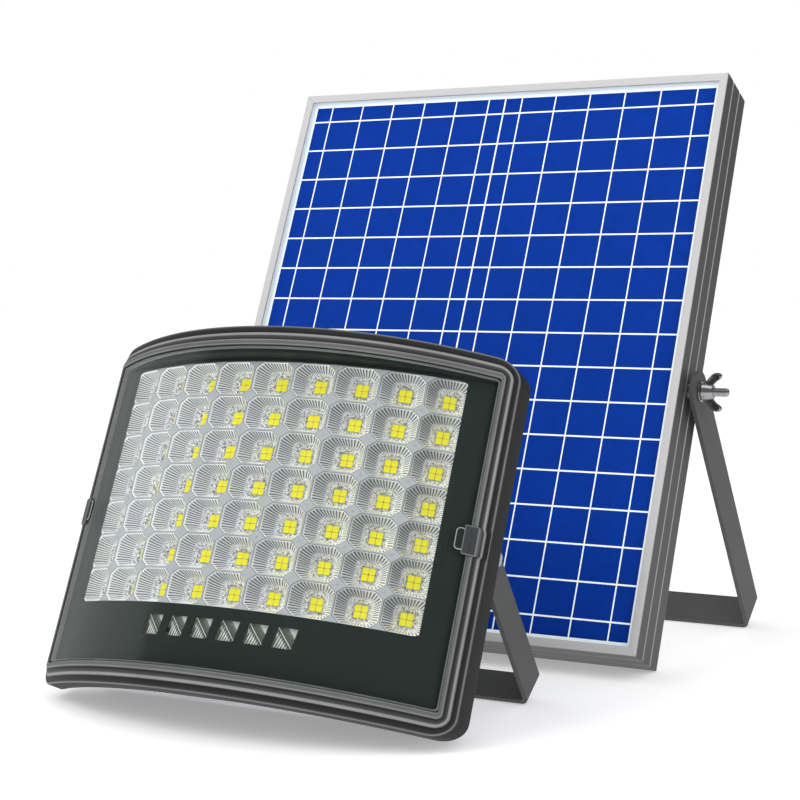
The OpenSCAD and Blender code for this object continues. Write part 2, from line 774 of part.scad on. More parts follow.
module junction_lid() {
    color([0.12, 0.12, 0.12]) place_panel() difference() {
        translate([-box_w / 2, -shelf_v + box_d, box_z - box_h / 2]) cube([box_w, lid_t, box_h]);
        translate([0, -shelf_v + box_d - cut, box_z])
            rotate([-90, 0, 0]) cylinder(r = gland_r - 2, h = lid_t + 2 * cut);
    }
}

module junction_gland() {
    color([0.12, 0.12, 0.12]) place_panel()
        translate([0, -shelf_v + box_d + lid_t, box_z]) rotate([-90, 0, 0]) gland(lid_t + 2);
}

module panel_bolts() {
    head_x = panel_w / 2 - rail_box - head_t;
    color([0.8, 0.8, 0.82]) place_panel()
        for (side = [-1, 1])
            translate([0, panel_pivot_y, panel_pivot_up]) sideways(side) {
                translate([0, 0, head_x]) cylinder(r = head_r, h = head_t, $fn = 6);
                translate([0, 0, head_x + head_t - eps])
                    cylinder(r = bolt_r, h = panel_arm_in + strip_t + bolt_out - head_x - head_t);
            }
}

module panel_spacers() {
    color([0.75, 0.75, 0.77]) place_panel()
        for (side = [-1, 1])
            translate([side * panel_w / 2, panel_pivot_y, panel_pivot_up])
                sideways(side) washer(bolt_r + bolt_gap, washer_r, spacer_len);
}

module panel_washers() {
    color([0.75, 0.75, 0.77]) place_panel()
        for (side = [-1, 1])
            translate([side * (panel_arm_in + strip_t + turn_gap), panel_pivot_y, panel_pivot_up])
                sideways(side) washer(bolt_r + bolt_gap, washer_r + 0.5, washer_t);
}

// A wing nut with its back on z = 0 and its wings along X and -X.
module wing_nut() {
    r = wing_reach;
    difference() {
        union() {
            cylinder(r1 = nut_hub_r, r2 = nut_hub_r - 1.2, h = nut_hub_len);
            for (turn = [0, 180])
                rotate([90, 0, turn]) translate([0, 0, -wing_t / 2]) linear_extrude(height = wing_t)
                    polygon([[2, 0.8], [nut_hub_r, 1.2], [r - 1.2, 7.4], [r, 9], [r, 13.4], [r - 1, 14.4],
                        [r - 4, 14.2], [nut_hub_r - 1.6, nut_hub_len], [2, nut_hub_len]]);
        }
        translate([0, 0, -cut]) cylinder(r = bolt_r + bolt_gap, h = nut_hub_len + 8);
    }
}

module wing_nut_at(side) {
    color([0.82, 0.82, 0.84]) place_panel()
        translate([side * nut_x, panel_pivot_y, panel_pivot_up])
            rotate([panel_tilt, 0, 0]) sideways(side) wing_nut();
}

module wing_nut_left() {
    wing_nut_at(-1);
}

module wing_nut_right() {
    wing_nut_at(1);
}

bezel();
front_glass();
glass_gasket();
mask_plate();
reflector_plate();
led_board();
led_packages();
indicator_leds();
carrier_plate();
body_gasket();
rear_shell();
shell_screws();
battery_cells();
battery_holder();
control_board();
lamp_gland();
glass_clip_left();
glass_clip_right();
lamp_bracket();
lamp_pivot_bolts();
lamp_pivot_washers();
frame_left();
frame_right();
frame_top();
frame_bottom();
corner_keys();
panel_glass();
cell_sheet();
backsheet();
junction_box();
junction_lid();
junction_gland();
panel_bracket();
panel_bolts();
panel_spacers();
panel_washers();
wing_nut_left();
wing_nut_right();
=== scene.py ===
"""Looks of the solar flood light: a bowed lamp head and a framed solar panel, each on its own bracket."""

import json

import bmesh
import bpy
import numpy as np
from bpy.props import FloatProperty, FloatVectorProperty, IntProperty, PointerProperty
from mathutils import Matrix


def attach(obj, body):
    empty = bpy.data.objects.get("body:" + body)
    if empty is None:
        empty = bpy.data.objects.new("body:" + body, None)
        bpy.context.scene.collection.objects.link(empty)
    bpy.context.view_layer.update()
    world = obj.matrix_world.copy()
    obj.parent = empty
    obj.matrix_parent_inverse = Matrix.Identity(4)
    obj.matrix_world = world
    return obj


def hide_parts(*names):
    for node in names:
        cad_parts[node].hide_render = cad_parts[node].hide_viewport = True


bl_info = {
    "name": "Solar flood light",
    "version": (1, 0, 0),
    "blender": (4, 5, 0),
    "location": "View3D > Sidebar > Flood light",
    "description": "Builds the visible surfaces and finishes of a solar flood light",
    "category": "Add Mesh",
}

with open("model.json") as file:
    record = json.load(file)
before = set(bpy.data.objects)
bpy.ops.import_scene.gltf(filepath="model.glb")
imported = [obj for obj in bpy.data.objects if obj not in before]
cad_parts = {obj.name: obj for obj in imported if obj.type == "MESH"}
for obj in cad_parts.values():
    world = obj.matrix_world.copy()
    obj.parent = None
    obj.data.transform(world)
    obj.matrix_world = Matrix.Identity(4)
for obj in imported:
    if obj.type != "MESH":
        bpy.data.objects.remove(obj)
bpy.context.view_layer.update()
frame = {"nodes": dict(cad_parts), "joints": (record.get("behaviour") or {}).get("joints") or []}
JOINTS = {joint["name"]: joint for joint in frame["joints"]}
LAMP_PIVOT = np.array(JOINTS["lamp_tilt"]["pos_m"])
PANEL_PIVOT = np.array(JOINTS["panel_tilt"]["pos_m"])
NUT_MIDDLE = {
    "left": np.array(JOINTS["left_wing_nut_turn"]["pos_m"]),
    "right": np.array(JOINTS["right_wing_nut_turn"]["pos_m"]),
}
MM = 0.001
# Smallest gap that keeps two neighbouring points apart
HAIR = 1e-5
# Points that are closer than this become one
WELD = HAIR / 5


# ---------------------------------------------------------------- settings


def length(name, description, default):
    """A size in metres."""
    return FloatProperty(name=name, description=description, default=default, unit="LENGTH", precision=5)


def colour(name, description, default):
    """A linear colour."""
    return FloatVectorProperty(
        name=name, description=description, default=default, subtype="COLOR", min=0, max=1
    )


def glow(name, description, default):
    """Strength of a surface's own light."""
    return FloatProperty(name=name, description=description, default=default, min=0)


class LampSizes(bpy.types.PropertyGroup):
    width: length("Width", "Width of the head over the bezel", 0.286)
    height: length("Height", "Height of the head over the bezel", 0.222)
    lean: FloatProperty(
        name="Lean", description="Lean of the head from upright", default=np.radians(24), subtype="ANGLE"
    )
    bow: length("Bow", "Radius of the bowed glass", 0.220)
    axis: length("Bow axis", "Distance of the bow's axis behind the standing edge", 0.14828)
    rim: length("Rim", "Width of the bezel above and below the glass", 0.0135)
    side_rim: length("Side rim", "Width of the bezel beside the glass", 0.008)
    ledge: length("Ledge", "Ledge under the edge of the glass", 0.0025)
    corner: length("Corner", "Rounding of the bezel's corners", 0.013)
    glass: length("Glass", "Thickness of the glass", 0.004)
    depth: length("Depth", "Depth of the bezel behind the glass's face", 0.014)
    grid_bow: length("Grid bow", "Radius of the light grid's face", 0.275)
    grid_depth: length("Grid depth", "Grid's crown behind the glass's crown", 0.016)
    pivot_y: length("Pivot depth", "Pivot behind the standing edge", 0.010)


class GridSizes(bpy.types.PropertyGroup):
    columns: IntProperty(name="Columns", description="Cups side by side", default=9, min=1)
    rows: IntProperty(name="Rows", description="Cups one above the other", default=7, min=1)
    width: length("Width", "Width of the window over the cups", 0.241)
    height: length("Height", "Height of the window over the cups", 0.1519)
    middle: length("Middle", "Height of the window's middle above the standing edge", 0.12835)
    cup_depth: length("Cup depth", "Depth of a cup", 0.0125)
    cup_bottom: length("Cup bottom", "Half the width of the opening at the bottom of a cup", 0.0049)
    corner_cut: FloatProperty(name="Corner cut", description="Share of a cup's corner cut off", default=0.36)
    flutes: IntProperty(name="Flutes", description="Flutes round a cup", default=42)
    flute_depth: length("Flute depth", "Depth of a flute", 0.0003)
    chip: length("Chip", "Side of one chip", 0.0037)
    chip_gap: length("Chip gap", "Gap between two chips", 0.0003)
    indicators: IntProperty(name="Indicators", description="Windows in the lower band", default=6)
    indicator_pitch: length("Indicator pitch", "Spacing of the indicator windows", 0.0182)
    indicator_width: length("Indicator width", "Width of an indicator window", 0.0145)
    indicator_height: length("Indicator height", "Height of an indicator window", 0.012)
    indicator_up: length("Indicator height", "Middle of the windows above the standing edge", 0.0395)


class PanelSizes(bpy.types.PropertyGroup):
    width: length("Width", "Width over the frame", 0.350)
    height: length("Height", "Height over the frame", 0.425)
    depth: length("Depth", "Depth of the frame", 0.042)
    lean: FloatProperty(
        name="Lean", description="Lean of the panel from upright", default=np.radians(24), subtype="ANGLE"
    )
    pivot_up: length("Pivot height", "Pivot above the lower edge", 0.190)
    lip: length("Lip", "Width of the front lip", 0.006)
    groove: length("Groove", "Width of the grooves in the outside", 0.0016)
    groove_depth: length("Groove depth", "Depth of the grooves", 0.0008)
    rail: length("Rail", "Width of a rail's hollow part", 0.012)
    flange: length("Flange", "Width of a rail's rear flange", 0.018)
    wall: length("Wall", "Wall of the rails", 0.0018)
    border: length("Border", "White border round the cells", 0.003)
    busbars: IntProperty(name="Busbars", description="Upright lines over the cells", default=12)
    gaps: IntProperty(name="Gaps", description="Level lines between the cells", default=16)


class Finishes(bpy.types.PropertyGroup):
    casting: colour("Casting", "Paint of the lamp's castings", (0.017, 0.0175, 0.0175))
    # Painted highlight colour along the bezel's edges
    edge: colour("Edge", "Polished edges of the bezel", (0.34, 0.34, 0.34))
    mask: colour("Mask", "Dark plate round the cups", (0.011, 0.019, 0.017))
    reflector: colour("Reflector", "Metallised reflector", (0.86, 0.86, 0.89))
    phosphor: colour("Phosphor", "Chips", (0.78, 0.74, 0.03))
    cells: colour("Cells", "Solar cells", (0.0003, 0.038, 0.33))
    grid: colour("Grid", "Lines over and between the cells", (0.80, 0.82, 0.84))
    frame: colour("Frame", "Front of the panel frame", (0.68, 0.67, 0.68))
    # Painted shade: the outside of the frame, darker than its front
    shaded_frame_side: colour("Frame side", "Outside of the panel frame", (0.070, 0.068, 0.070))
    bracket: colour("Bracket", "Paint of the lamp bracket", (0.075, 0.077, 0.074))
    panel_bracket: colour("Panel bracket", "Paint of the panel bracket", (0.085, 0.085, 0.085))
    plated: colour("Plated", "Plated fasteners", (0.75, 0.75, 0.77))
    clip: colour("Clip", "Glass clips", (0.045, 0.048, 0.05))
    # Painted highlight on the ridges of the cups
    ridge_highlight: glow("Ridge glow", "Glow of the ridges of the cups", 0.55)
    chip_glow: glow("Chip glow", "Glow of the chips", 0.45)
    # Painted light on the indicator prisms
    prism_glow: glow("Prism glow", "Glow of the indicator prisms", 0.25)
    # Painted light on the lines and the white border of the cells
    line_glow: glow("Line glow", "Glow of the lines over the cells", 0.3)
    floor_glow: glow("Floor glow", "Glow of the floor", 0.32)


class StageSettings(bpy.types.PropertyGroup):
    azimuth: FloatProperty(
        name="Azimuth", description="Camera's turn from the front", default=np.radians(28.52), subtype="ANGLE"
    )
    pitch: FloatProperty(
        name="Pitch", description="How far the camera looks down", default=np.radians(3.82), subtype="ANGLE"
    )
    lens: FloatProperty(name="Lens", description="Focal length", default=81.0, unit="CAMERA")
    camera: FloatVectorProperty(
        name="Camera", description="Place of the camera", default=(0.58706, -1.06255, 0.25817), subtype="XYZ"
    )
    floor: length("Floor", "Half the floor's side", 12.0)


# ---------------------------------------------------------------- shader expressions


class Socket:
    """One output of a node tree, on which arithmetic adds Math nodes."""

    def __init__(self, shading, output):
        self.shading = shading
        self.output = output

    def math(self, operation, *others, first=None):
        values = [self, *others] if first is None else [first, self]
        return self.shading.node("ShaderNodeMath", {"operation": operation}, dict(enumerate(values)))

    def __add__(self, other):
        return self.math("ADD", other)

    __radd__ = __add__

    def __sub__(self, other):
        return self.math("SUBTRACT", other)

    def __rsub__(self, other):
        return self.math("SUBTRACT", first=other)

    def __mul__(self, other):
        return self.math("MULTIPLY", other)

    __rmul__ = __mul__

    def __gt__(self, other):
        return self.math("GREATER_THAN", other)

    def __lt__(self, other):
        return self.math("LESS_THAN", other)

    def fraction(self):
        return self.math("FRACT")

    def absolute(self):
        return self.math("ABSOLUTE")

    def larger(self, other):
        return self.math("MAXIMUM", other)


class Shading:
    """The node tree of a material or of the world."""

    def __init__(self, holder, output="ShaderNodeOutputMaterial"):
        self.material = holder
        holder.use_nodes = True
        self.tree = holder.node_tree
        self.tree.nodes.clear()
        self.out = self.tree.nodes.new(output)

    def node(self, kind, settings=None, inputs=None, output=0):
        """Adds a node: its settings first, then the values or links of its sockets."""
        made = self.tree.nodes.new(kind)
        for key, value in (settings or {}).items():
            if key == "stops":
                ramp = made.color_ramp
                while len(ramp.elements) < len(value):
                    ramp.elements.new(0.5)
                for element, (position, tint) in zip(ramp.elements, value):
                    element.position = position
                    element.color = (*tint, 1) if len(tint) == 3 else tint
            else:
                setattr(made, key, value)
        for key, value in (inputs or {}).items():
            self.feed(made.inputs[key], value)
        return Socket(self, made.outputs[output])

    def feed(self, socket, value):
        if isinstance(value, Socket):
            self.tree.links.new(value.output, socket)
        elif socket.type == "RGBA" and len(value) == 3:
            socket.default_value = (*value, 1)
        else:
            socket.default_value = value

    def place(self, scale=(1, 1, 1)):
        """The point on the piece, stretched."""
        here = self.node("ShaderNodeTexCoord", output="Object")
        return self.node("ShaderNodeMapping", {"vector_type": "POINT"}, {"Vector": here, "Scale": scale})

    def noise(self, scale, detail=2.0, roughness=0.5, where=None):
        inputs = {"Vector": where or self.place(), "Scale": scale, "Detail": detail, "Roughness": roughness}
        return self.node("ShaderNodeTexNoise", None, inputs, "Fac")

    def attribute(self, name):
        return self.node("ShaderNodeAttribute", {"attribute_name": name}, output="Fac")

    def blend(self, factor, a, b):
        """Colour a where the factor is 0 and b where it is 1."""
        return self.node(
            "ShaderNodeMix", {"data_type": "RGBA", "clamp_factor": True}, {0: factor, 6: a, 7: b}, output=2
        )

    def shades(self, factor, *stops):
        return self.node("ShaderNodeValToRGB", {"stops": stops}, {"Fac": factor})

    def bump(self, height, distance):
        return self.node("ShaderNodeBump", None, {"Height": height, "Distance": distance, "Strength": 1.0})

    def surface(self, **values):
        """Ends the tree in a Principled shader. Names use _ for a space."""
        shader = self.node(
            "ShaderNodeBsdfPrincipled", None, {k.replace("_", " "): v for k, v in values.items()}
        )
        self.tree.links.new(shader.output, self.out.inputs["Surface"])
        return self.material

    def pane(self, tint, gloss_ior, roughness):
        """Ends the tree in clear glass: sight passes straight through, and the front mirrors its share."""
        gloss = self.node("ShaderNodeBsdfGlossy", None, {"Color": (1, 1, 1), "Roughness": roughness})
        clear = self.node("ShaderNodeBsdfTransparent", None, {"Color": tint})
        front = 1 - self.node("ShaderNodeNewGeometry", output="Backfacing")
        share = self.node("ShaderNodeFresnel", None, {"IOR": gloss_ior}) * front
        mixed = self.node("ShaderNodeMixShader", None, {0: share, 1: clear, 2: gloss})
        self.tree.links.new(mixed.output, self.out.inputs["Surface"])
        return self.material


MATERIALS = {}


def finish_of(name):
    """The material of that name, made once."""
    if name not in MATERIALS:
        made = bpy.data.materials.new(name)
        MATERIALS[name] = RECIPES[name](Shading(made), bpy.context.scene.flood_finishes)
    return MATERIALS[name]


def step_of(s, value, low, high, top=1.0):
    """Rises smoothly from 0 where the value is low to top where it is high."""
    limits = {"Value": value, "From Min": low, "From Max": high, "To Max": top}
    return s.node("ShaderNodeMapRange", {"interpolation_type": "SMOOTHSTEP"}, limits)


def cast_paint(s, f):
    """Satin powder coat: fine orange peel, cloudy tone, and a painted highlight along the edges."""
    grain = s.noise(2600, 3)
    cloud = s.noise(26, 4, 0.6)
    edge = s.attribute("edge")
    tone = s.blend(cloud, tuple(c * 0.80 for c in f.casting), tuple(c * 1.25 for c in f.casting))
    # Painted highlight along the edges
    tone = s.blend(edge * (0.55 + 0.45 * cloud), tone, tuple(f.edge))
    tone = s.blend(s.attribute("inner"), tone, tuple(f.mask))
    return s.surface(
        Base_Color=tone,
        Roughness=0.44 + 0.12 * grain - 0.14 * edge,
        Specular_IOR_Level=0.22,
        Normal=s.bump(grain, 0.00004),
    )


def paint(field):
    def recipe(s, f):
        """Satin paint on steel with faint rolling marks and edges lightened as a painted highlight."""
        grain = s.noise(1900, 3)
        streak = s.noise(60, 3, 0.6, s.place((1, 0.12, 1)))
        edge = s.attribute("edge")
        base = tuple(getattr(f, field))
        tone = s.blend(streak, tuple(c * 0.82 for c in base), tuple(c * 1.2 for c in base))
        # Painted highlight along the edges
        tone = s.blend(edge * 0.6, tone, tuple(min(1, c * 2.4 + 0.08) for c in base))
        return s.surface(
            Base_Color=tone,
            Roughness=0.40 + 0.14 * grain,
            Metallic=0.15,
            Normal=s.bump(grain, 0.00004),
        )

    return recipe


def dark_mask(s, f):
    """Printed plastic with a fine grain."""
    grain = s.noise(1500, 2)
    cloud = s.noise(12, 2)
    base = tuple(f.mask)
    return s.surface(
        Base_Color=s.blend(cloud, base, tuple(c * 1.5 for c in base)),
        Roughness=0.42 + 0.1 * grain,
        Normal=s.bump(grain, 0.00002),
    )


def metallised(s, f):
    """Bright metallised plastic with a faint violet and warm drift and a soft haze. The ridges glow a little
    as a painted highlight, the flute grooves and a thin ring near the rim are darkened as painted shade, and
    the attribute shaded greys the left and upper walls of each cup as painted shade."""
    drift = s.noise(55, 3, 0.6)
    haze = s.noise(240, 2)
    base = tuple(f.reflector)
    tone = s.shades(
        drift,
        (0.30, (base[0] * 0.90, base[1] * 0.86, base[2])),
        (0.50, base),
        (0.66, (base[0], base[1], base[2] * 0.93)),
    )
    land = s.attribute("land")
    mottle = s.noise(850, 3, 0.7)
    groove = s.attribute("flute")
    deep = s.attribute("deep")
    tone = s.blend(step_of(s, mottle, 0.50, 0.60) * (0.1 + 0.75 * deep), tone, (0.09, 0.09, 0.095))
    # Painted shade on the left and upper walls of each cup
    shaded = s.attribute("shaded")
    tone = s.blend(shaded * (1 - deep) * 0.75, tone, (0.22, 0.22, 0.23))
    # Painted shade: the flute grooves and the ring near the rim are darkened
    tone = s.blend(groove, tone, (0.012, 0.012, 0.014))
    tone = s.blend(land, tone, (0.50, 0.51, 0.53))
    # Painted highlight: the ridges glow, less on the shaded walls and in the dark patches at the bottom
    glint = (1 - groove) * (1 - land) * (1 - 0.8 * shaded) * (1 - deep * step_of(s, mottle, 0.42, 0.52))
    return s.surface(
        Base_Color=tone,
        Metallic=0.35 - 0.3 * land,
        Roughness=0.16 + 0.12 * haze,
        Emission_Color=s.blend(glint, (0, 0, 0), (1, 1, 1)),
        Emission_Strength=f.ridge_highlight,
        Normal=s.bump(mottle * deep, 0.00012),
    )


def package_silver(s, f):
    """Silvered frame of a package, tarnished to gold and violet in places."""
    grain = s.noise(700, 3, 0.6)
    tone = s.shades(grain, (0.35, (0.20, 0.16, 0.10)), (0.5, (0.42, 0.40, 0.42)), (0.65, (0.62, 0.58, 0.66)))
    return s.surface(Base_Color=tone, Metallic=0.4, Roughness=0.3 + 0.1 * grain)


def phosphor(s, f):
    """Yellow phosphor under clear silicone, a little uneven and softly glowing."""
    cloud = s.noise(420, 3, 0.6)
    base = tuple(f.phosphor)
    tone = s.blend(cloud, (base[0] * 0.95, base[1] * 0.86, base[2]), base)
    return s.surface(
        Base_Color=tone,
        Roughness=0.30 + 0.15 * cloud,
        Coat_Weight=0.5,
        Coat_Roughness=0.08,
        Emission_Color=tone,
        Emission_Strength=f.chip_glow,
        Normal=s.bump(cloud, 0.00005),
    )


def prism(s, f):
    """Clear greenish prism over metallised facets, its light and shade painted on: dark hollows, pale faces
    and a white ridge, with a soft glow.
    """
    drift = s.noise(900, 4, 0.7)
    facet = s.attribute("facet")
    tone = s.shades(
        facet + 0.35 * drift - 0.15,
        (0.0, (0.012, 0.016, 0.014)),
        (0.35, (0.12, 0.14, 0.12)),
        (0.55, (0.42, 0.46, 0.40)),
        (0.8, (0.90, 0.92, 0.90)),
    )
    return s.surface(
        Base_Color=tone,
        Metallic=0.1,
        Roughness=0.18 + 0.12 * drift,
        # Painted light: the prism glows in its own tone
        Emission_Color=tone,
        Emission_Strength=f.prism_glow,
        Normal=s.bump(drift, 0.0001),
    )


def clear_glass(s, f):
    dust = s.noise(30, 3)
    return s.pane((0.965, 0.98, 0.975), 1.5, 0.02 + 0.02 * dust)


def panel_glass(s, f):
    """Clear low-glare glass with a hair-fine stipple."""
    dust = s.noise(40, 3)
    return s.pane((0.99, 0.99, 0.995), 1.05, 0.06 + 0.05 * dust)


def glass_edge(s, f):
    cloud = s.noise(90, 3)
    return s.surface(
        Base_Color=s.blend(cloud, (0.12, 0.14, 0.135), (0.24, 0.27, 0.26)), Roughness=0.2 + 0.1 * cloud
    )


def solar_cells(s, f):
    """Blue cells from the piece's own UV: white border, level gaps, upright busbars and the middle gap.
    A line is where the distance to its nearest repeat is below half its width."""
    where = s.node("ShaderNodeUVMap", {"uv_map": "cells"})
    parts = s.node("ShaderNodeSeparateXYZ", None, {"Vector": where})
    u, v = parts, Socket(s, parts.output.node.outputs["Y"])
    p = bpy.context.scene.flood_panel
    wide, tall = cell_area(p)
    nearest = lambda x, n: ((x * n).fraction() - 0.5).absolute() * (1 / n)
    bar = nearest(u, p.busbars) < 0.0005 / wide
    level = nearest(v, p.gaps) < 0.0006 / tall
    middle = (u - 0.5).absolute() < 0.0006 / wide
    border = ((u - 0.5).absolute() > 0.5).larger((v - 0.5).absolute() > 0.5)
    lines = bar.larger(level).larger(middle).larger(border)
    cloud = s.noise(35, 4, 0.55)
    grain = s.node("ShaderNodeTexVoronoi", None, {"Vector": s.place((1, 1, 1)), "Scale": 160.0}, "Color")
    grey = s.node("ShaderNodeRGBToBW", None, {"Color": grain})
    base = tuple(f.cells)
    blue = s.blend(cloud * 0.6 + grey * 0.4, tuple(c * 0.86 for c in base), tuple(c * 1.14 for c in base))
    return s.surface(
        Base_Color=s.blend(lines, blue, tuple(f.grid)),
        Roughness=0.6 - 0.1 * lines,
        Specular_IOR_Level=0.1,
        # Painted light: the lines and the white border glow, which also lifts the border where the lip shades
        # it
        Emission_Color=s.blend(lines, (0, 0, 0), (0.8, 1, 1)),
        Emission_Strength=f.line_glow,
        Normal=s.bump(lines, 0.00006),
    )


def anodised(s, f):
    """Pale anodised front and a side darkened as painted shade, with painted highlights along edges and
    grooves, drawn along the rail: tone comes from the rail's own attributes.
    """
    grain = s.noise(420, 3, 0.6, s.place((1, 1, 0.02)))
    side = s.attribute("side")
    edge = s.attribute("edge")
    # Painted shade: the side is darker than the front
    tone = s.blend(side, tuple(f.frame), tuple(f.shaded_frame_side))
    # Painted highlight along the edges and grooves
    tone = s.blend(edge * 0.85, tone, (0.62, 0.61, 0.62))
    tone = s.blend(grain * 0.10, tone, (0.30, 0.30, 0.31))
    return s.surface(
        Base_Color=tone,
        Metallic=0.15,
        Roughness=0.36 + 0.14 * grain,
        Normal=s.bump(grain, 0.00002),
    )


def plated(s, f):
    scuff = s.noise(700, 4, 0.65)
    return s.surface(
        Base_Color=s.blend(scuff, tuple(c * 0.8 for c in f.plated), tuple(f.plated)),
        Metallic=1.0,
        Roughness=0.14 + 0.16 * scuff,
        Normal=s.bump(scuff, 0.00002),
    )


def clip_paint(s, f):
    grain = s.noise(1800, 3)
    edge = s.attribute("edge")
    base = tuple(f.clip)
    tone = s.blend(grain * 0.3, base, tuple(c * 1.5 for c in base))
    tone = s.blend(s.attribute("tab"), tone, (0.020, 0.026, 0.025))
    return s.surface(
        # Painted highlight along the edges
        Base_Color=s.blend(edge, tone, (0.62, 0.63, 0.63)),
        Metallic=0.15,
        Roughness=0.34 + 0.1 * grain,
        Normal=s.bump(grain, 0.00003),
    )


def moulded(base, rough=0.45, scale=1400, bump=0.00004, metallic=0.0, lighter=1.5):
    def recipe(s, f):
        """Moulded or milled stock with a fine grain and a slow drift of tone."""
        grain = s.noise(scale, 3)
        cloud = s.noise(18, 3)
        return s.surface(
            Base_Color=s.blend(cloud, base, tuple(min(1, c * lighter) for c in base)),
            Roughness=rough + 0.12 * grain,
            Metallic=metallic,
            Normal=s.bump(grain, bump),
        )

    return recipe


def floor_paper(s, f):
    grain = s.noise(40, 2)
    tone = s.blend(grain, (0.93, 0.93, 0.93), (0.95, 0.95, 0.95))
    return s.surface(
        Base_Color=tone, Roughness=0.9, Emission_Color=tone, Emission_Strength=f.floor_glow
    )


RECIPES = {
    "cast_paint": cast_paint,
    "bracket_paint": paint("bracket"),
    "panel_bracket_paint": paint("panel_bracket"),
    "dark_mask": dark_mask,
    "metallised": metallised,
    "package_silver": package_silver,
    "phosphor": phosphor,
    "prism": prism,
    "clear_glass": clear_glass,
    "panel_glass": panel_glass,
    "glass_edge": glass_edge,
    "solar_cells": solar_cells,
    "anodised": anodised,
    "plated": plated,
    "clip_paint": clip_paint,
    "black_rubber": moulded((0.012, 0.012, 0.012), 0.6, 900),
    "black_plastic": moulded((0.018, 0.018, 0.019), 0.42, 1600, 0.00006),
    "board_white": moulded((0.62, 0.62, 0.60), 0.4),
    "board_green": moulded((0.012, 0.10, 0.035), 0.35),
    "plain_aluminium": moulded((0.62, 0.63, 0.65), 0.3, 700, 0.00002, 1.0, 1.1),
    "cell_sleeve": moulded((0.02, 0.07, 0.28), 0.3, 300, 0.00002),
    "backsheet_white": moulded((0.78, 0.78, 0.78), 0.5, 500, 0.00003, 0.0, 1.1),
    "floor_paper": floor_paper,
}


# ---------------------------------------------------------------- surfaces


def leaned(points, pivot, own, lean):
    """Own axes (X right, Y back, Z up from the standing edge) to the shared frame: turned about the pivot."""
    p = points - np.array(own)
    c, s = np.cos(lean), np.sin(lean)
    turned = np.stack([p[..., 0], p[..., 1] * c + p[..., 2] * s, p[..., 2] * c - p[..., 1] * s], -1)
    return turned + pivot


def in_lamp(points):
    s = bpy.context.scene.flood_lamp
    return leaned(points, LAMP_PIVOT, (0, s.pivot_y, s.height / 2), s.lean)


def in_panel(points):
    s = bpy.context.scene.flood_panel
    return leaned(points, PANEL_PIVOT, (0, -s.depth / 2, s.pivot_up), s.lean)


def grid_faces(rows, closed_rows=False, closed_columns=True):
    """Four-sided faces over a grid of points (rows, columns, 3): each joins two rows and two columns."""
    m, n = rows.shape[:2]
    index = np.arange(m * n).reshape(m, n)
    if closed_rows:
        index = np.vstack([index, index[:1]])
    if closed_columns:
        index = np.hstack([index, index[:, :1]])
    faces = np.stack([index[:-1, :-1], index[1:, :-1], index[1:, 1:], index[:-1, 1:]], -1)
    return rows.reshape(-1, 3), faces.reshape(-1, 4)


def capped(rows):
    """A loft of closed rings whose first and last ring are closed by triangles to their middle."""
    points, faces = grid_faces(rows)
    m, n = rows.shape[:2]
    around = np.arange(n)
    following = np.roll(around, -1)
    first = np.stack([following, around, np.full(n, m * n)], -1)
    last = np.stack([around, following, np.full(n, m * n + 1)], -1) + np.array([(m - 1) * n] * 2 + [0])
    points = np.vstack([points, rows[0].mean(0), rows[-1].mean(0)])
    return points, [faces, first, last]


def add_piece(name, parts, materials, body, replaces=(), sharp=32, values=None, uv=None):
    """Puts surfaces into one mesh, welds their seams, turns faces outwards and smooths below the sharp angle.
    parts: (points, faces, material index). values: {attribute: array over all points}."""
    points, faces, index, start = [], [], [], 0
    for part_points, part_faces, slot_index in parts:
        groups = part_faces if isinstance(part_faces, list) else [part_faces]
        for group in groups:
            faces += (group + start).tolist()
            index += [slot_index] * len(group)
        points.append(part_points)
        start += len(part_points)
    points = np.vstack(points)
    mesh = bpy.data.meshes.new(name)
    mesh.from_pydata(points.tolist(), [], faces)
    for key, value in (values or {}).items():
        layer = mesh.attributes.new(key, "FLOAT", "POINT")
        layer.data.foreach_set("value", np.asarray(value, np.float32).ravel())
    if uv is not None:
        layer = mesh.uv_layers.new(name=uv[0])
        corner = np.zeros(len(mesh.loops), np.int32)
        mesh.loops.foreach_get("vertex_index", corner)
        layer.data.foreach_set("uv", uv[1][corner].astype(np.float32).ravel())
    mesh.polygons.foreach_set("material_index", index)
    for material in materials:
        mesh.materials.append(finish_of(material))
    work = bmesh.new()
    work.from_mesh(mesh)
    bmesh.ops.remove_doubles(work, verts=work.verts, dist=WELD)
    bmesh.ops.recalc_face_normals(work, faces=work.faces)
    work.to_mesh(mesh)
    work.free()
    mesh.polygons.foreach_set("use_smooth", np.ones(len(mesh.polygons), bool))
    mesh.set_sharp_from_angle(angle=np.radians(sharp))
    piece = bpy.data.objects.new(name, mesh)
    bpy.context.scene.collection.objects.link(piece)
    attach(piece, body)
    if replaces:
        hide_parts(*replaces)
    return piece


def softened(name, node, material, body, width):
    """The node's own shape with its edges rounded: a welded copy with flat areas joined, bevelled at its
    corners."""
    sharp = np.radians(38)
    mesh = frame["nodes"][node].data.copy()
    mesh.name = name
    mesh.materials.clear()
    mesh.materials.append(finish_of(material))
    work = bmesh.new()
    work.from_mesh(mesh)
    bmesh.ops.remove_doubles(work, verts=work.verts, dist=WELD)
    bmesh.ops.dissolve_limit(
        work, angle_limit=np.radians(0.6), verts=work.verts, edges=work.edges, use_dissolve_boundaries=False
    )
    for face in work.faces:
        face.smooth = True
        face.material_index = 0
    work.to_mesh(mesh)
    work.free()
    mesh.set_sharp_from_angle(angle=sharp)
    piece = bpy.data.objects.new(name, mesh)
    bpy.context.scene.collection.objects.link(piece)
    bevel = piece.modifiers.new("rounded_edges", "BEVEL")
    bevel.width = width
    bevel.segments = 2
    bevel.limit_method = "ANGLE"
    bevel.angle_limit = sharp
    bevel.harden_normals = True
    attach(piece, body)
    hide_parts(node)
    return piece


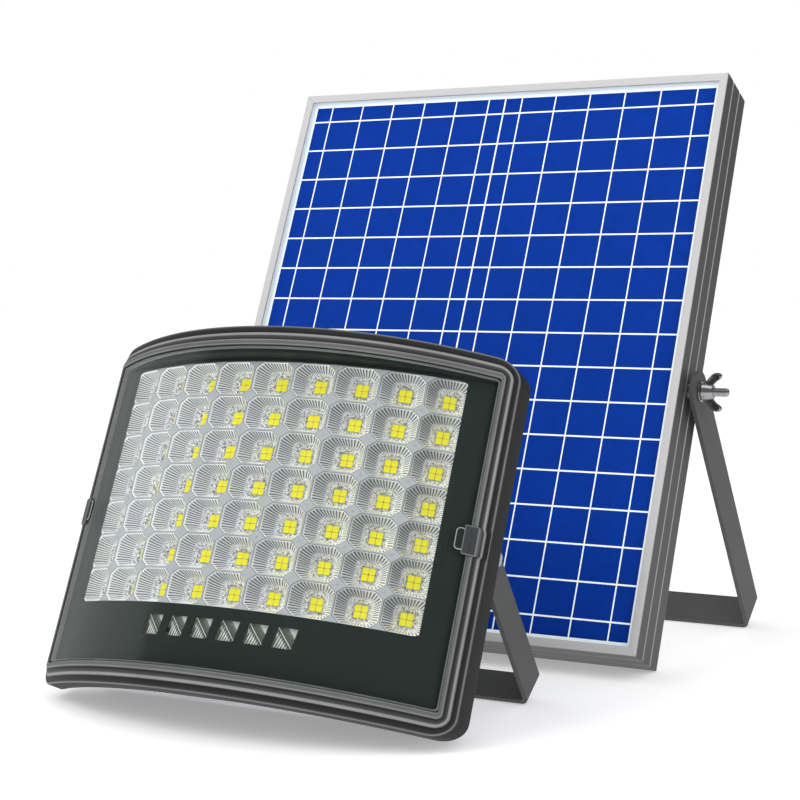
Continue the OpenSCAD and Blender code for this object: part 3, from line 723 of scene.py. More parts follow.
def rounded_outline(width, height, corner, notch=0.0, across=64, up=24, turn=8):
    """A rectangle with round corners as points (x, z) round its middle, walked from the lower right corner
    upwards. Straight sides are sampled evenly, with doubled points at plus and minus the notch."""
    cx, cz = width / 2 - corner, height / 2 - corner
    quarter = np.linspace(0, np.pi / 2, turn + 1)
    level = np.linspace(-1, 1, up) * cz
    if notch:
        inner = np.linspace(-notch, notch, 9)
        outer = np.linspace(notch + 2 * HAIR, cz, up // 2)
        level = np.concatenate([-outer[::-1], inner, outer])
    wide = np.linspace(1, -1, across) * cx
    arc = lambda a: np.stack([np.cos(a), np.sin(a)], -1) * corner
    right = np.stack([np.full(len(level), width / 2), level], -1)
    top = np.stack([wide, np.full(len(wide), height / 2)], -1)
    corners = [arc(quarter[1:-1] + k * np.pi / 2) for k in range(4)]
    return np.vstack(
        [
            right,
            corners[0] + [cx, cz],
            top,
            corners[1] + [-cx, cz],
            -right,
            corners[2] + [-cx, -cz],
            -top,
            corners[3] + [cx, -cz],
        ]
    )


def bowed_rings(
    width,
    height,
    corner,
    profile,
    middle,
    axis,
    across_x=0.0,
    least=0.0015,
    beside=lambda inset: inset,
    **sampling,
):
    """Rings over a bowed face: for each (inset, radius), the rounded rectangle drawn in by the inset (at its
    sides by beside(inset)) and laid on the cylinder of that radius about the upright axis, which is
    y = axis - sqrt(r^2 - x^2)."""
    rings = []
    for inset, radius in profile:
        flat = rounded_outline(
            width - 2 * beside(inset), height - 2 * inset, max(corner - inset, least), **sampling
        )
        x = flat[:, 0] + across_x
        r = radius(flat) if callable(radius) else np.full(len(x), radius)
        rings.append(np.stack([x, axis - np.sqrt(r**2 - x**2), flat[:, 1] + middle], -1))
    return np.array(rings)


def turned_rings(profile, count):
    """A profile of (distance along the axis, radius) spun about the first axis: rings of
    (along, r cos a, r sin a)."""
    a = np.linspace(0, 2 * np.pi, count, endpoint=False)
    along, radius = np.array(profile).T
    rings = np.stack(
        [np.repeat(along[:, None], count, 1), radius[:, None] * np.cos(a), radius[:, None] * np.sin(a)], -1
    )
    return rings


# ---------------------------------------------------------------- lamp head


class FLOOD_OT_bezel(bpy.types.Operator):
    """The stepped frame round the glass"""

    bl_idname = "flood.bezel"
    bl_label = "Bezel"

    def execute(self, context):
        s = context.scene.flood_lamp
        glass_edge_in = s.rim - 0.3 * MM
        back, ledge = s.bow - s.depth, s.bow - s.glass - 1.5 * MM
        # (inset, height over the glass's face, brightness of the edge's painted highlight), in millimetres
        steps = [
            (0, -13.2, 0),
            (0, -3.0, 0),
            (0.15, -2.3, 0.3),
            (0.5, -1.9, 0.75),
            (1.0, -1.8, 0.3),
            (1.6, -1.8, 0.04),
            (4.0, -1.75, 0),
            (4.6, -1.6, 0),
            (4.9, -1.1, 0.5),
            (5.2, -0.7, 1.0),
            (6.4, -0.6, 0.9),
            (6.9, -0.6, 0.2),
            (8.7, -0.55, 0.06),
            (9.3, -0.4, 0),
            (9.5, 0.2, 0.1),
            (9.8, 0.7, 0.6),
            (10.2, 0.8, 0.75),
            (11.0, 0.8, 0.4),
            (12.2, 0.8, 0.4),
            (12.7, 0.6, 0.8),
            (13.15, 0.1, 0.2),
        ]
        profile = [(d * MM, s.bow + h * MM) for d, h, _ in steps]
        profile += [(glass_edge_in, ledge + 0.3 * MM), (glass_edge_in + 0.1 * MM, ledge)]
        profile += [(s.rim + s.ledge, ledge), (s.rim + s.ledge, back)]
        profile += [(0.8 * MM, back), (0.2 * MM, back + 0.2 * MM)]
        edge = [e for _, _, e in steps] + [0] * (len(profile) - len(steps))
        inner = [0] * len(steps) + [1] * 4 + [0] * (len(profile) - len(steps) - 4)
        notch, floor = 8.9 * MM, s.bow - 2.8 * MM

        def with_notch(inset, radius):
            def shaped(flat):
                inside = (np.abs(flat[:, 1]) < notch) & (np.abs(flat[:, 0]) > s.width / 4)
                cut = inside & (inset > 0.6 * MM) & (inset < s.rim)
                return np.where(cut, min(radius, floor), radius)

            return shaped

        def beside(inset):
            """The rim is narrower at its sides, and the ledge is the same all round."""
            return inset * s.side_rim / s.rim if inset < s.rim else inset - s.rim + s.side_rim

        profile = [(d, with_notch(d, r)) for d, r in profile]
        sampling = {"notch": notch, "across": 96, "up": 30, "turn": 10}
        rings = bowed_rings(
            s.width, s.height, s.corner, profile, s.height / 2, s.axis, beside=beside, **sampling
        )
        values = {
            "edge": np.repeat(np.array(edge)[:, None], rings.shape[1], 1),
            "inner": np.repeat(np.array(inner)[:, None], rings.shape[1], 1),
        }
        points, faces = grid_faces(in_lamp(rings), closed_rows=True)
        add_piece(
            "bezel_frame",
            [(points, faces, 0)],
            ["cast_paint"],
            "lamp_head",
            ["bezel"],
            sharp=40,
            values=values,
        )
        return {"FINISHED"}


def bowed_sheet(width, height, corner, levels, middle, axis, across=97, up=25):
    """A bowed plate whose surfaces are even grids. Each level is (inset, radius, whole): the plate's outline
    drawn in by the inset and laid on the cylinder of that radius about the upright axis, which is
    y = axis - sqrt(r^2 - x^2). Columns stand at evenly spread x, closer at the rounded corners, and reach
    up to height / 2 - (c - sqrt(c^2 - (|x| - width / 2 + c)^2)) beside a corner of radius c. Whole levels
    give a grid of faces, and the outlines of neighbouring levels are joined by a band."""
    share = np.linspace(-1, 1, across)
    span = 1 - corner / (width / 2)
    quarter = 1 - np.cos(np.linspace(0, np.pi / 2, 7)[1:-1])
    extra = 1 - (1 - span) * quarter
    ends = [-1, -span, span, 1]
    share = np.unique(np.round(np.concatenate([share[np.abs(share) < span], extra, -extra, ends]), 9))
    rise = np.linspace(-1, 1, up)
    parts, outlines = [], []
    for inset, radius, whole in levels:
        half, c = width / 2 - inset, max(corner - inset, 0.0004)
        x = share * half
        past = np.clip(np.abs(x) - (half - c), 0, c)
        tall = height / 2 - inset - (c - np.sqrt(c**2 - past**2))
        x, z = np.broadcast_arrays(x, rise[:, None] * tall)
        face = np.stack([x, axis - np.sqrt(radius**2 - x**2), z + middle], -1)
        if whole:
            parts.append((*grid_faces(face, closed_columns=False), 0))
        outlines.append(np.vstack([face[0, :-1], face[:-1, -1], face[-1, :0:-1], face[:0:-1, 0]]))
    parts.append((*grid_faces(np.array(outlines)), 1))
    return parts


class FLOOD_OT_glass(bpy.types.Operator):
    """The bowed front glass with ground edges, and the gasket under it"""

    bl_idname = "flood.glass"
    bl_label = "Front glass"

    def execute(self, context):
        s = context.scene.flood_lamp
        wide, tall = s.width - 2 * s.side_rim, s.height - 2 * s.rim
        front, back = s.bow, s.bow - s.glass
        levels = [
            (0.6 * MM, back, True),
            (0, back + 0.6 * MM, False),
            (0, front - 0.9 * MM, False),
            (0.9 * MM, front, True),
        ]
        parts = bowed_sheet(wide, tall, 3 * MM, levels, s.height / 2, s.axis)
        add_piece(
            "lamp_glass",
            [(in_lamp(points), faces, index) for points, faces, index in parts],
            ["clear_glass", "glass_edge"],
            "lamp_head",
            ["front_glass"],
            sharp=25,
        )
        ring = [(0.1 * MM, back), (0.1 * MM, back - 1.4 * MM), (s.ledge - 0.4 * MM, back - 1.4 * MM)]
        ring += [(s.ledge, back - 1.1 * MM), (s.ledge + 0.2 * MM, back - 0.7 * MM)]
        ring += [(s.ledge, back - 0.2 * MM), (s.ledge - 0.4 * MM, back)]
        rings = bowed_rings(wide, tall, 4 * MM, ring, s.height / 2, s.axis, across=96)
        points, faces = grid_faces(in_lamp(rings), closed_rows=True)
        seal = [(points, faces, 0)]
        add_piece("glass_seal", seal, ["black_rubber"], "lamp_head", ["glass_gasket"])
        return {"FINISHED"}


def grid_axis(s):
    """Distance of the light grid's axis behind the standing edge."""
    return s.axis - s.bow + s.grid_depth + s.grid_bow


def on_grid(s, angle, side, height, depth):
    """A point of the light grid: turned by the angle about the grid's axis, moved sideways along the face,
    and sunk behind the face by the depth."""
    r = s.grid_bow - depth
    c, n = np.cos(angle), np.sin(angle)
    x = r * n + side * c
    y = grid_axis(s) - r * c + side * n
    return np.stack(np.broadcast_arrays(x, y, height), -1)


def grid_places(s, g):
    """Angles of the columns and heights of the rows of cups."""
    step = 2 * np.arcsin(g.width / 2 / s.grid_bow) / g.columns
    pitch = g.height / g.rows
    angles = (np.arange(g.columns) - (g.columns - 1) / 2) * step
    heights = g.middle + (np.arange(g.rows) - (g.rows - 1) / 2) * pitch
    return angles, heights, step, pitch


class FLOOD_OT_reflector(bpy.types.Operator):
    """The metallised plate of fluted cups, its lip, and the indicator prisms"""

    bl_idname = "flood.reflector"
    bl_label = "Reflector"

    def execute(self, context):
        s, g = context.scene.flood_lamp, context.scene.flood_grid
        angles, heights, step, pitch = grid_places(s, g)
        half = np.array([s.grid_bow * np.tan(step / 2), pitch / 2])
        count = 3 * g.flutes
        phi = np.linspace(0, 2 * np.pi, count, endpoint=False)
        way = np.stack([np.cos(phi), np.sin(phi)], -1)
        longest = np.abs(way).max(1)
        square = way / longest[:, None]
        eight = way * np.minimum(1 / longest, (2 - g.corner_cut) / np.abs(way).sum(1))[:, None]
        soft = way / ((np.abs(way) ** 6).sum(1) ** (1 / 6))[:, None]
        groove = np.array([0.0, 0.45, 1.0])[np.arange(count) % 3][:, None]
        # (share of the cell's octagon, size of the soft square in mm, share of it, depth in mm, flute, land).
        # The flute sets the flutes' depth and their painted shade; -1 paints a dark ring near the rim without
        # flutes.
        levels = [
            (0.985, 0, 0, 0.0, 0, 1),
            (0.975, 0, 0, 0.05, -1, 0),
            (0.955, 0, 0, 0.10, -1, 0),
            (0.945, 0, 0, 0.15, 0, 0),
            (0.925, 0, 0, 0.60, 0, 0),
            (0.90, 0, 0, 1.6, 1, 0),
            (0.81, 7.6, 0.10, 4.0, 1, 0),
            (0.73, 7.6, 0.35, 6.3, 1, 0),
            (0.66, 7.6, 0.75, 8.3, 0.9, 0),
            (0, 7.3, 1, 9.0, 0, 0),
            (0, 6.9, 1, 9.1, 0, 0.25),
            (0, 5.6, 1, 11.2, 0, 0),
            (0, 1000 * g.cup_bottom, 1, 12.1, 0, 0.35),
        ]
        rings, depth, flutes, lands = [square * half], [0.0], [0 * groove], [0 * groove + 1]
        for share, size, soften, down, flute, land in levels:
            shape = eight * half * share * (1 - soften) + soft * size * MM * soften
            rings.append(shape + way * (groove * 1.5 - 0.5) * max(flute, 0) * g.flute_depth)
            depth.append(down * MM)
            flutes.append(groove * flute if flute >= 0 else 0 * groove + 0.8)
            lands.append(0 * groove + land)
        rings.append(way * HAIR * 8)
        depth.append(12.2 * MM)
        flutes.append(0 * groove)
        lands.append(0 * groove + 0.6)
        rings, depth = np.array(rings), np.array(depth)
        flutes, lands = np.array(flutes).ravel(), np.array(lands).ravel()
        deep = np.repeat(np.clip(depth * 1000 - 8.4, 0, 1), count)
        # Painted shade on the cup walls: greyest at the left wall, turned this far upwards in radians,
        # and more so in columns further right
        upwards, least_grey, more_grey = 0.6, 0.55, 0.4
        shaded = np.tile(0.5 - 0.5 * np.cos(phi + upwards), len(depth))
        for name, group in zip(("left", "middle", "right"), np.array_split(angles, 3)):
            parts, greyer = [], []
            for angle in group:
                for height in heights:
                    cell = on_grid(s, angle, rings[..., 0], rings[..., 1] + height, depth[:, None])
                    parts.append((*grid_faces(in_lamp(cell)), 0))
                    greyer.append(shaded * (least_grey + more_grey * angle / angles.max()))
            add_piece(
                f"reflector_{name}",
                parts,
                ["metallised"],
                "lamp_head",
                ["reflector_plate"],
                sharp=24,
                values={
                    "flute": np.tile(flutes, len(parts)),
                    "land": np.tile(lands, len(parts)),
                    "deep": np.tile(deep, len(parts)),
                    "shaded": np.concatenate(greyer),
                },
            )
        lip_rows = [(-0.15, 0.6), (-0.15, -0.75), (0.05, -0.9), (0.28, -0.75), (0.28, 0.6)]
        outline = [(-d * MM, s.grid_bow - h * MM) for d, h in lip_rows]
        lip = bowed_rings(g.width, g.height, 8 * MM, outline, g.middle, grid_axis(s), across=72, up=40)
        lip_part = (*grid_faces(in_lamp(lip), closed_rows=True), 0)
        add_piece("window_lip", [lip_part], ["dark_mask"], "lamp_head", (), sharp=40)
        self.prisms(s, g)
        return {"FINISHED"}

    def prisms(self, s, g):
        """A prism behind each window, slanted like it. Its depth grows away from the diagonal that falls from
        the upper left to the lower right: a smooth pale face above, a face of fine upright steps below."""
        u, v = np.meshgrid(np.linspace(0, 1, 48), np.linspace(0, 1, 32))
        off = u - v
        saw = np.abs((u * 7 + v * 2) % 1 - 0.5) * 2
        ridge = np.clip(1 - np.abs(off + 0.02) / 0.05, 0, 1)
        twin = np.clip(1 - np.abs(off + 0.30) / 0.035, 0, 1) * (v > 0.25)
        below = 0.12 + 0.75 * saw * np.clip(-off * 3, 0, 1)
        above = np.where(off > 0.45, 0.62, 0.16 + 0.5 * np.clip(off, 0, 1))
        # Painted light and shade of each facet: dark in the steps and hollows, white on the ridge and its
        # twin
        facet = np.maximum(np.where(off > 0, above, below), np.maximum(ridge, 0.8 * twin))
        down = 1.2 + 1.8 * np.abs(off) + 0.6 * saw * (off < 0) - 0.5 * ridge
        lean = 1.0 * MM
        step = g.indicator_pitch / s.grid_bow
        parts, tones = [], []
        for i in range(g.indicators):
            angle = (i - (g.indicators - 1) / 2) * step
            side = (u - 0.5) * (g.indicator_width - 1.4 * MM) + (0.5 - v) * 2 * lean
            height = g.indicator_up + (0.5 - v) * (g.indicator_height + 0.6 * MM)
            cell = on_grid(s, angle, side, height, down * MM)
            parts.append((*grid_faces(in_lamp(cell), closed_columns=False), 0))
            tones.append(facet.ravel())
        add_piece(
            "indicator_prisms",
            parts,
            ["prism"],
            "lamp_head",
            (),
            sharp=12,
            values={"facet": np.concatenate(tones)},
        )


class FLOOD_OT_mask(bpy.types.Operator):
    """Dark strips between the plate round the cups and the sides of the bezel's opening"""

    bl_idname = "flood.mask"
    bl_label = "Side strips"

    def execute(self, context):
        """Each strip follows the dark plate's cylinder, and where that would meet the glass it follows the
        glass's back instead; the section is swept upright."""
        s = context.scene.flood_lamp
        reach = s.width / 2 - s.side_rim - s.ledge - 0.3 * MM
        start = 117 * MM
        x = np.linspace(start, reach, 20)
        face = s.grid_bow + 0.85 * MM
        plate = grid_axis(s) - np.sqrt(face**2 - x**2)
        glass = s.axis - np.sqrt((s.bow - s.glass) ** 2 - x**2) + 0.35 * MM
        front = np.maximum(plate, glass)
        section = np.vstack([np.column_stack([x, front]), np.column_stack([x, front + 0.6 * MM])[::-1]])
        low = s.rim + s.ledge + 0.2 * MM
        levels = np.linspace(low, s.height - low, 9)
        parts = []
        for side in (-1, 1):
            across, back = section[:, 0] * side, section[:, 1]
            rings = np.stack([np.column_stack([across, back, np.full(len(section), z)]) for z in levels])
            parts.append((*capped(in_lamp(rings)), 0))
        add_piece("side_strips", parts, ["dark_mask"], "lamp_head", (), sharp=40)
        return {"FINISHED"}


class FLOOD_OT_lights(bpy.types.Operator):
    """The packages of four chips at the bottom of the cups"""

    bl_idname = "flood.lights"
    bl_label = "Light packages"

    def execute(self, context):
        s, g = context.scene.flood_lamp, context.scene.flood_grid
        angles, heights, _, _ = grid_places(s, g)

        def tablet(side, corner, levels):
            rings = []
            for inset, down in levels:
                flat = rounded_outline(
                    side - 2 * inset, side - 2 * inset, max(corner - inset, 0.2 * MM), across=2, up=2, turn=3
                )
                rings.append(np.column_stack([flat, np.full(len(flat), down)]))
            return np.array(rings)

        top = g.cup_depth
        round_corner = 0.5 * MM
        # (inset, height over the bottom of the cup), in millimetres
        body_levels = [(0, 0.05), (0, 0.42), (0.12, 0.5)]
        chip_levels = [(0, 0.48), (0, 0.78), (0.08, 0.87), (0.3, 0.9)]
        body_levels = [(d * MM, top - h * MM) for d, h in body_levels]
        chip_levels = [(d * MM, top - h * MM) for d, h in chip_levels]
        body = tablet(2 * g.chip + g.chip_gap + 0.5 * MM, round_corner, body_levels)
        chip = tablet(g.chip, round_corner, chip_levels)
        shift = (g.chip + g.chip_gap) / 2
        bodies, chips = [], []
        for angle in angles:
            for height in heights:
                place = on_grid(s, angle, body[..., 0], body[..., 1] + height, body[..., 2])
                bodies.append((*capped(in_lamp(place)), 0))
                for a in (-shift, shift):
                    for b in (-shift, shift):
                        place = on_grid(s, angle, chip[..., 0] + a, chip[..., 1] + b + height, chip[..., 2])
                        chips.append((*capped(in_lamp(place)), 0))
        add_piece("light_packages", bodies, ["package_silver"], "lamp_head", ["led_packages"])
        add_piece("light_chips", chips, ["phosphor"], "lamp_head", ["led_packages"], sharp=50)
        return {"FINISHED"}


class FLOOD_OT_clips(bpy.types.Operator):
    """The clips that hook over the sides of the glass"""

    bl_idname = "flood.clips"
    bl_label = "Glass clips"

    def execute(self, context):
        s = context.scene.flood_lamp
        # Reach of the hook, the plate and the flat tab from the middle of the head, in millimetres
        hook, plate, tab = (135.4, 138.6), (131.9, 138.9), (127.9, 133.0)
        base, over, top = s.bow - 2.8 * MM, s.bow + 0.3 * MM, s.bow + 1.5 * MM
        for side, name in ((-1, "left"), (1, "right")):
            parts, values, tabs = [], [], []

            def slab(reach, tall, corner, foot, head, bright, is_tab=0):
                """A bowed block with a rounded face between two heights over the axis."""
                wide, middle = (reach[1] - reach[0]) * MM, side * sum(reach) / 2 * MM
                last = wide / 2 - HAIR
                profile = [(last, foot), (0, foot), (0, head - 0.45 * MM), (0.12 * MM, head - 0.15 * MM)]
                profile += [(0.4 * MM, head), (0.75 * MM, head), (last, head)]
                sampling = {"least": 0.0002, "across": 8, "up": 12, "turn": 5}
                rings = bowed_rings(
                    wide, tall * MM, corner * MM, profile, s.height / 2, s.axis, middle, **sampling
                )
                parts.append((*capped(in_lamp(rings)), 0))
                # Painted highlight along the rounded edge of each block's face
                tones = np.array([0, 0, 0.2, bright, bright * 0.8, 0, 0])
                edge = np.repeat(tones[:, None], rings.shape[1], 1)
                values.append(np.concatenate([edge.ravel(), [0, 0]]))
                tabs.append(np.full(edge.size + 2, float(is_tab)))

            slab(hook, 16.4, 0.6, base, top - 0.9 * MM, 0.3)
            slab(plate, 17.0, 0.8, over, top, 0.3)
            slab(tab, 13.0, 2.4, over, s.bow + 0.9 * MM, 0.8, 1)
            add_piece(
                f"clip_{name}",
                parts,
                ["clip_paint"],
                "lamp_head",
                [f"glass_clip_{name}"],
                sharp=40,
                values={"edge": np.concatenate(values), "tab": np.concatenate(tabs)},
            )
        return {"FINISHED"}


# ---------------------------------------------------------------- solar panel


def cell_area(p):
    """Width and height of the area inside the white border."""
    return p.width - 2 * (p.lip + p.border), p.height - 2 * (p.lip + p.border)


class FLOOD_OT_rails(bpy.types.Operator):
    """The four mitred rails of the panel frame"""

    bl_idname = "flood.rails"
    bl_label = "Frame rails"

    def execute(self, context):
        p = context.scene.flood_panel
        band = (p.depth - 2 * p.groove) / 3
        g, e = p.groove_depth, 0.35 * MM
        shelf = p.depth - 6.3 * MM
        # (inwards from the outer face, forwards from the rear face, side tone, edge tone); the side tone is
        # painted shade and the edge tone a painted highlight
        section = [(e, 0, 1, 0.2), (0, e, 1, 0.6), (0, 2 * e, 1, 0)]
        for i in (1, 2):
            low = i * band + (i - 1) * p.groove
            high = low + p.groove
            section += [
                (0, low - e, 1, 0.0),
                (0.2 * MM, low - 0.1 * MM, 1, 0.7),
                (g, low + 0.25 * MM, 1, 0.8),
                (g, high - 0.25 * MM, 1, 0.8),
                (0.2 * MM, high + 0.1 * MM, 1, 0.9),
                (0, high + e, 1, 0.0),
            ]
        d = p.depth
        under = d - 1.6 * MM
        section += [(0, d - 1.0 * MM, 1, 0), (0, d - 0.5 * MM, 1, 0.4)]
        section += [(0.15 * MM, d - 0.15 * MM, 0.4, 0.6), (0.5 * MM, d, 0, 0), (p.lip - 0.4 * MM, d, 0, 0)]
        section += [(p.lip - 0.1 * MM, d - 0.15 * MM, 0, 0), (p.lip, d - 0.5 * MM, 0.2, 0)]
        section += [(p.lip, under, 0.3, 0), (3 * MM, under, 0.3, 0), (3 * MM, shelf, 0.3, 0)]
        section += [(p.rail, shelf, 0.3, 0), (p.rail, p.wall, 0.3, 0), (p.flange - e, p.wall, 0.3, 0.2)]
        section += [(p.flange, p.wall - e, 0.3, 0.3), (p.flange, e, 0.3, 0.3), (p.flange - e, 0, 0.3, 0.2)]
        section += [(1.2 * MM, 0, 0.3, 0), (0.8 * MM, 0, 1, 0)]
        section = np.array(section)
        inwards, forwards = section[:, 0], section[:, 1]
        seam = 0.08 * MM

        def rail(long):
            """Rings along the rail: each end is cut back by the point's own distance inwards, as a mitre."""
            share = np.linspace(0, 1, 24)[:, None]
            low, high = inwards + seam, long - inwards - seam
            along = low + (high - low) * share
            return along, np.broadcast_to(inwards, along.shape), np.broadcast_to(-forwards, along.shape)

        w, h = p.width, p.height
        for name, long in (("left", h), ("right", h), ("bottom", w), ("top", w)):
            along, inward, y = rail(long)
            if name == "left":
                own = np.stack([-w / 2 + inward, y, along], -1)
            elif name == "right":
                own = np.stack([w / 2 - inward, y, along], -1)
            elif name == "bottom":
                own = np.stack([-w / 2 + along, y, inward], -1)
            else:
                own = np.stack([-w / 2 + along, y, h - inward], -1)
            points, faces = grid_faces(in_panel(own))
            n = len(section)
            ends = [np.arange(n)[None], (np.arange(n) + len(points) - n)[None, ::-1]]
            # Painted shade on the side and painted highlight on the edges, carried as attributes
            side = np.tile(section[:, 2], len(along))
            edge = np.tile(section[:, 3], len(along))
            add_piece(
                f"rail_{name}",
                [(points, [faces, *ends], 0)],
                ["anodised"],
                "solar_panel",
                [f"frame_{name}"],
                sharp=30,
                values={"side": side, "edge": edge},
            )
        return {"FINISHED"}


def flat_slab(p, inset, low, high, bevel):
    """A flat plate in the panel between two depths, its edge bevelled: rings of a rounded rectangle."""
    wide, tall = p.width - 2 * inset, p.height - 2 * inset
    rings = []
    for d, forward in ((bevel, low), (0, low + bevel), (0, high - bevel), (bevel, high)):
        flat = rounded_outline(wide - 2 * d, tall - 2 * d, max(1 * MM - d, 0.2 * MM), across=8, up=8, turn=3)
        rings.append(np.stack([flat[:, 0], np.full(len(flat), -forward), flat[:, 1] + p.height / 2], -1))
    return np.array(rings)


class FLOOD_OT_laminate(bpy.types.Operator):
    """The solar cells with their grid, and the glass over them"""

    bl_idname = "flood.laminate"
    bl_label = "Cells and glass"

    def execute(self, context):
        p = context.scene.flood_panel
        front = p.depth - 1.8 * MM
        cells = front - 3.2 * MM
        inset = 2.3 * MM
        rings = flat_slab(p, inset, cells - 0.9 * MM, cells, 0.1 * MM)
        points, faces = capped(rings)
        wide, tall = cell_area(p)
        uv = np.stack([points[:, 0] / wide + 0.5, (points[:, 2] - p.height / 2) / tall + 0.5], -1)
        add_piece(
            "cells",
            [(in_panel(points), faces, 0)],
            ["solar_cells"],
            "solar_panel",
            ["cell_sheet"],
            uv=("cells", uv),
        )
        rings = flat_slab(p, inset, cells + 0.02 * MM, front, 0.3 * MM)
        points, faces = capped(rings)
        add_piece(
            "cover_glass",
            [(in_panel(points), faces, 0)],
            ["panel_glass"],
            "solar_panel",
            ["panel_glass"],
        )
        return {"FINISHED"}


class FLOOD_OT_fasteners(bpy.types.Operator):
    """The threaded bolts, wing nuts, spacers and washers of the panel bracket"""

    bl_idname = "flood.fasteners"
    bl_label = "Panel fasteners"

    def execute(self, context):
        p = context.scene.flood_panel
        half = p.width / 2
        bolts, spacers, washers = [], [], []
        for side in (-1, 1):
            head = half - p.rail - 4 * MM
            # (distance from the head's inner face, radius), in millimetres
            hexagon = [(0, 3.6), (0, 4.9), (0.4, 5.2), (3.6, 5.2), (4, 4.9), (4, 3.0)]
            hexagon = [(head + a * MM, r * MM) for a, r in hexagon]
            bolts.append(self.spun(hexagon, side, 6))
            start, end, turns = half + 9.5 * MM, half + 28 * MM, 0.9 * MM
            along = np.arange(start, end - 0.6 * MM, turns / 2)
            radius = np.where(np.arange(len(along)) % 2, 2.62, 3.0) * MM
            shank = [(head + 3.9 * MM, 2.95 * MM), (start - 0.3 * MM, 2.95 * MM)]
            shank += list(zip(along, radius)) + [(end - 0.3 * MM, 2.4 * MM), (end, 1.9 * MM)]
            bolts.append(self.spun(shank, side, 28))
            spacers.append(self.spun(self.washer(half, 4.7 * MM, 6.5, 3.1), side, 48, True))
            washers.append(self.spun(self.washer(half + 8.3 * MM, 1.2 * MM, 7.0, 3.1), side, 48, True))
        for name, parts, node in (
            ("bracket_bolts", bolts, "panel_bolts"),
            ("bracket_spacers", spacers, "panel_spacers"),
            ("bracket_washers", washers, "panel_washers"),
        ):
            add_piece(name, parts, ["plated"], "solar_panel", [node], sharp=35)
        for side, name in ((-1, "left"), (1, "right")):
            self.wing_nut(side, name)
        return {"FINISHED"}

    def washer(self, start, thick, outer, inner):
        """Section of a ring with small chamfers, as (along, radius)."""
        c = 0.25 * MM
        outer, inner = outer * MM, inner * MM
        end = start + thick
        near = [(start, inner + c), (start, outer - c), (start + c, outer)]
        far = [(end - c, outer), (end, outer - c), (end, inner + c), (end - c, inner)]
        return [*near, *far, (start + c, inner)]

    def spun(self, profile, side, count, ring=False):
        """A profile spun about the panel's pivot axis, on one side of the panel."""
        rings = turned_rings(profile, count)
        rings[..., 0] *= side
        rings = rings + [0, PANEL_PIVOT[1], PANEL_PIVOT[2]]
        if ring:
            return (*grid_faces(rings, closed_rows=True), 0)
        return (*capped(rings), 0)

    def wing_nut(self, side, name):
        """A tapered hub with a rounded rim and two wings: each wing is a smooth closed outline whose rings
        draw in towards its middle as they rise to its two faces."""
        hub = [(0, 3.08), (0, 5.6), (0.4, 6.0), (3.0, 5.7), (6.6, 4.9), (7.6, 4.6), (8.0, 4.1), (8.0, 3.08)]
        hub = [((a - 4) * MM, r * MM) for a, r in hub]
        rings = turned_rings(hub, 48)
        parts = [(*grid_faces(rings, closed_rows=True), 0)]
        lower = [(3.6, 1.2), (6.0, 1.3), (9.0, 3.6), (12.0, 6.2), (13.3, 8.6), (13.2, 12.2)]
        upper = [(11.6, 14.0), (9.4, 13.2), (7.6, 10.2), (5.6, 8.0), (3.6, 7.4)]
        corners = np.array(lower + upper)
        for _ in range(3):
            following = np.roll(corners, -1, 0)
            cuts = [corners * 0.75 + following * 0.25, corners * 0.25 + following * 0.75]
            corners = np.stack(cuts, 1).reshape(-1, 2)
        # (share of the outline, height over the wing's middle in millimetres)
        levels = [(0.62, -1.05), (0.82, -1.15), (0.95, -0.85), (1.0, 0)]
        levels += [(0.95, 0.85), (0.82, 1.15), (0.62, 1.05)]
        middle = corners.mean(0)
        for way in (-1, 1):
            wing = []
            for draw, rise in levels:
                flat = (middle + (corners - middle) * draw) * MM
                lift = np.full(len(flat), rise * MM)
                wing.append(np.stack([flat[:, 1] - 4 * MM, lift, flat[:, 0] * way], -1))
            parts.append((*capped(np.array(wing)), 0))
        placed = []
        for points, faces, index in parts:
            points = points * [side, 1, 1] + NUT_MIDDLE[name]
            placed.append((points, faces, index))
        add_piece(
            f"wing_{name}",
            placed,
            ["plated"],
            f"{name}_wing_nut",
            [f"wing_nut_{name}"],
            sharp=38,
        )


class FLOOD_OT_castings(bpy.types.Operator):
    """Brackets, rear shell, junction box and small parts: their own shapes with rounded edges"""

    bl_idname = "flood.castings"
    bl_label = "Brackets and housings"

    def execute(self, context):
        rows = [
            ("lamp_strap", "lamp_bracket", "bracket_paint", "stands", "bracket_paint", 0.0005),
            ("panel_strap", "panel_bracket", "panel_bracket_paint", "stands", "panel_bracket_paint", 0.0005),
            ("back_shell", "rear_shell", "cast_paint", "lamp_head", "lamp_casting", 0.0005),
            ("box", "junction_box", "black_plastic", "solar_panel", "black_plastic", 0.0005),
            ("box_lid", "junction_lid", "black_plastic", "solar_panel", "black_plastic", 0.0005),
            ("pivot_bolts", "lamp_pivot_bolts", "plated", "lamp_head", "steel_screws", 0.0003),
            ("pivot_washers", "lamp_pivot_washers", "plated", "lamp_head", "steel_screws", 0.0002),
        ]
        for name, node, material, body, slot, width in rows:
            softened(name, node, material, body, width)
        return {"FINISHED"}


class FLOOD_OT_plain_nodes(bpy.types.Operator):
    """Finishes of the parts that are shown as they are"""

    bl_idname = "flood.plain_nodes"
    bl_label = "Other parts"

    def execute(self, context):
        rows = {
            "mask_plate": "dark_mask",
            "led_board": "board_white",
            "indicator_leds": "prism",
            "carrier_plate": "plain_aluminium",
            "body_gasket": "black_rubber",
            "shell_screws": "plated",
            "battery_cells": "cell_sleeve",
            "battery_holder": "black_plastic",
            "control_board": "board_green",
            "lamp_gland": "black_plastic",
            "corner_keys": "plain_aluminium",
            "backsheet": "backsheet_white",
            "junction_gland": "black_plastic",
        }
        for node, material in rows.items():
            mesh = frame["nodes"][node].data
            mesh.materials.clear()
            mesh.materials.append(finish_of(material))
        return {"FINISHED"}


# ---------------------------------------------------------------- stage


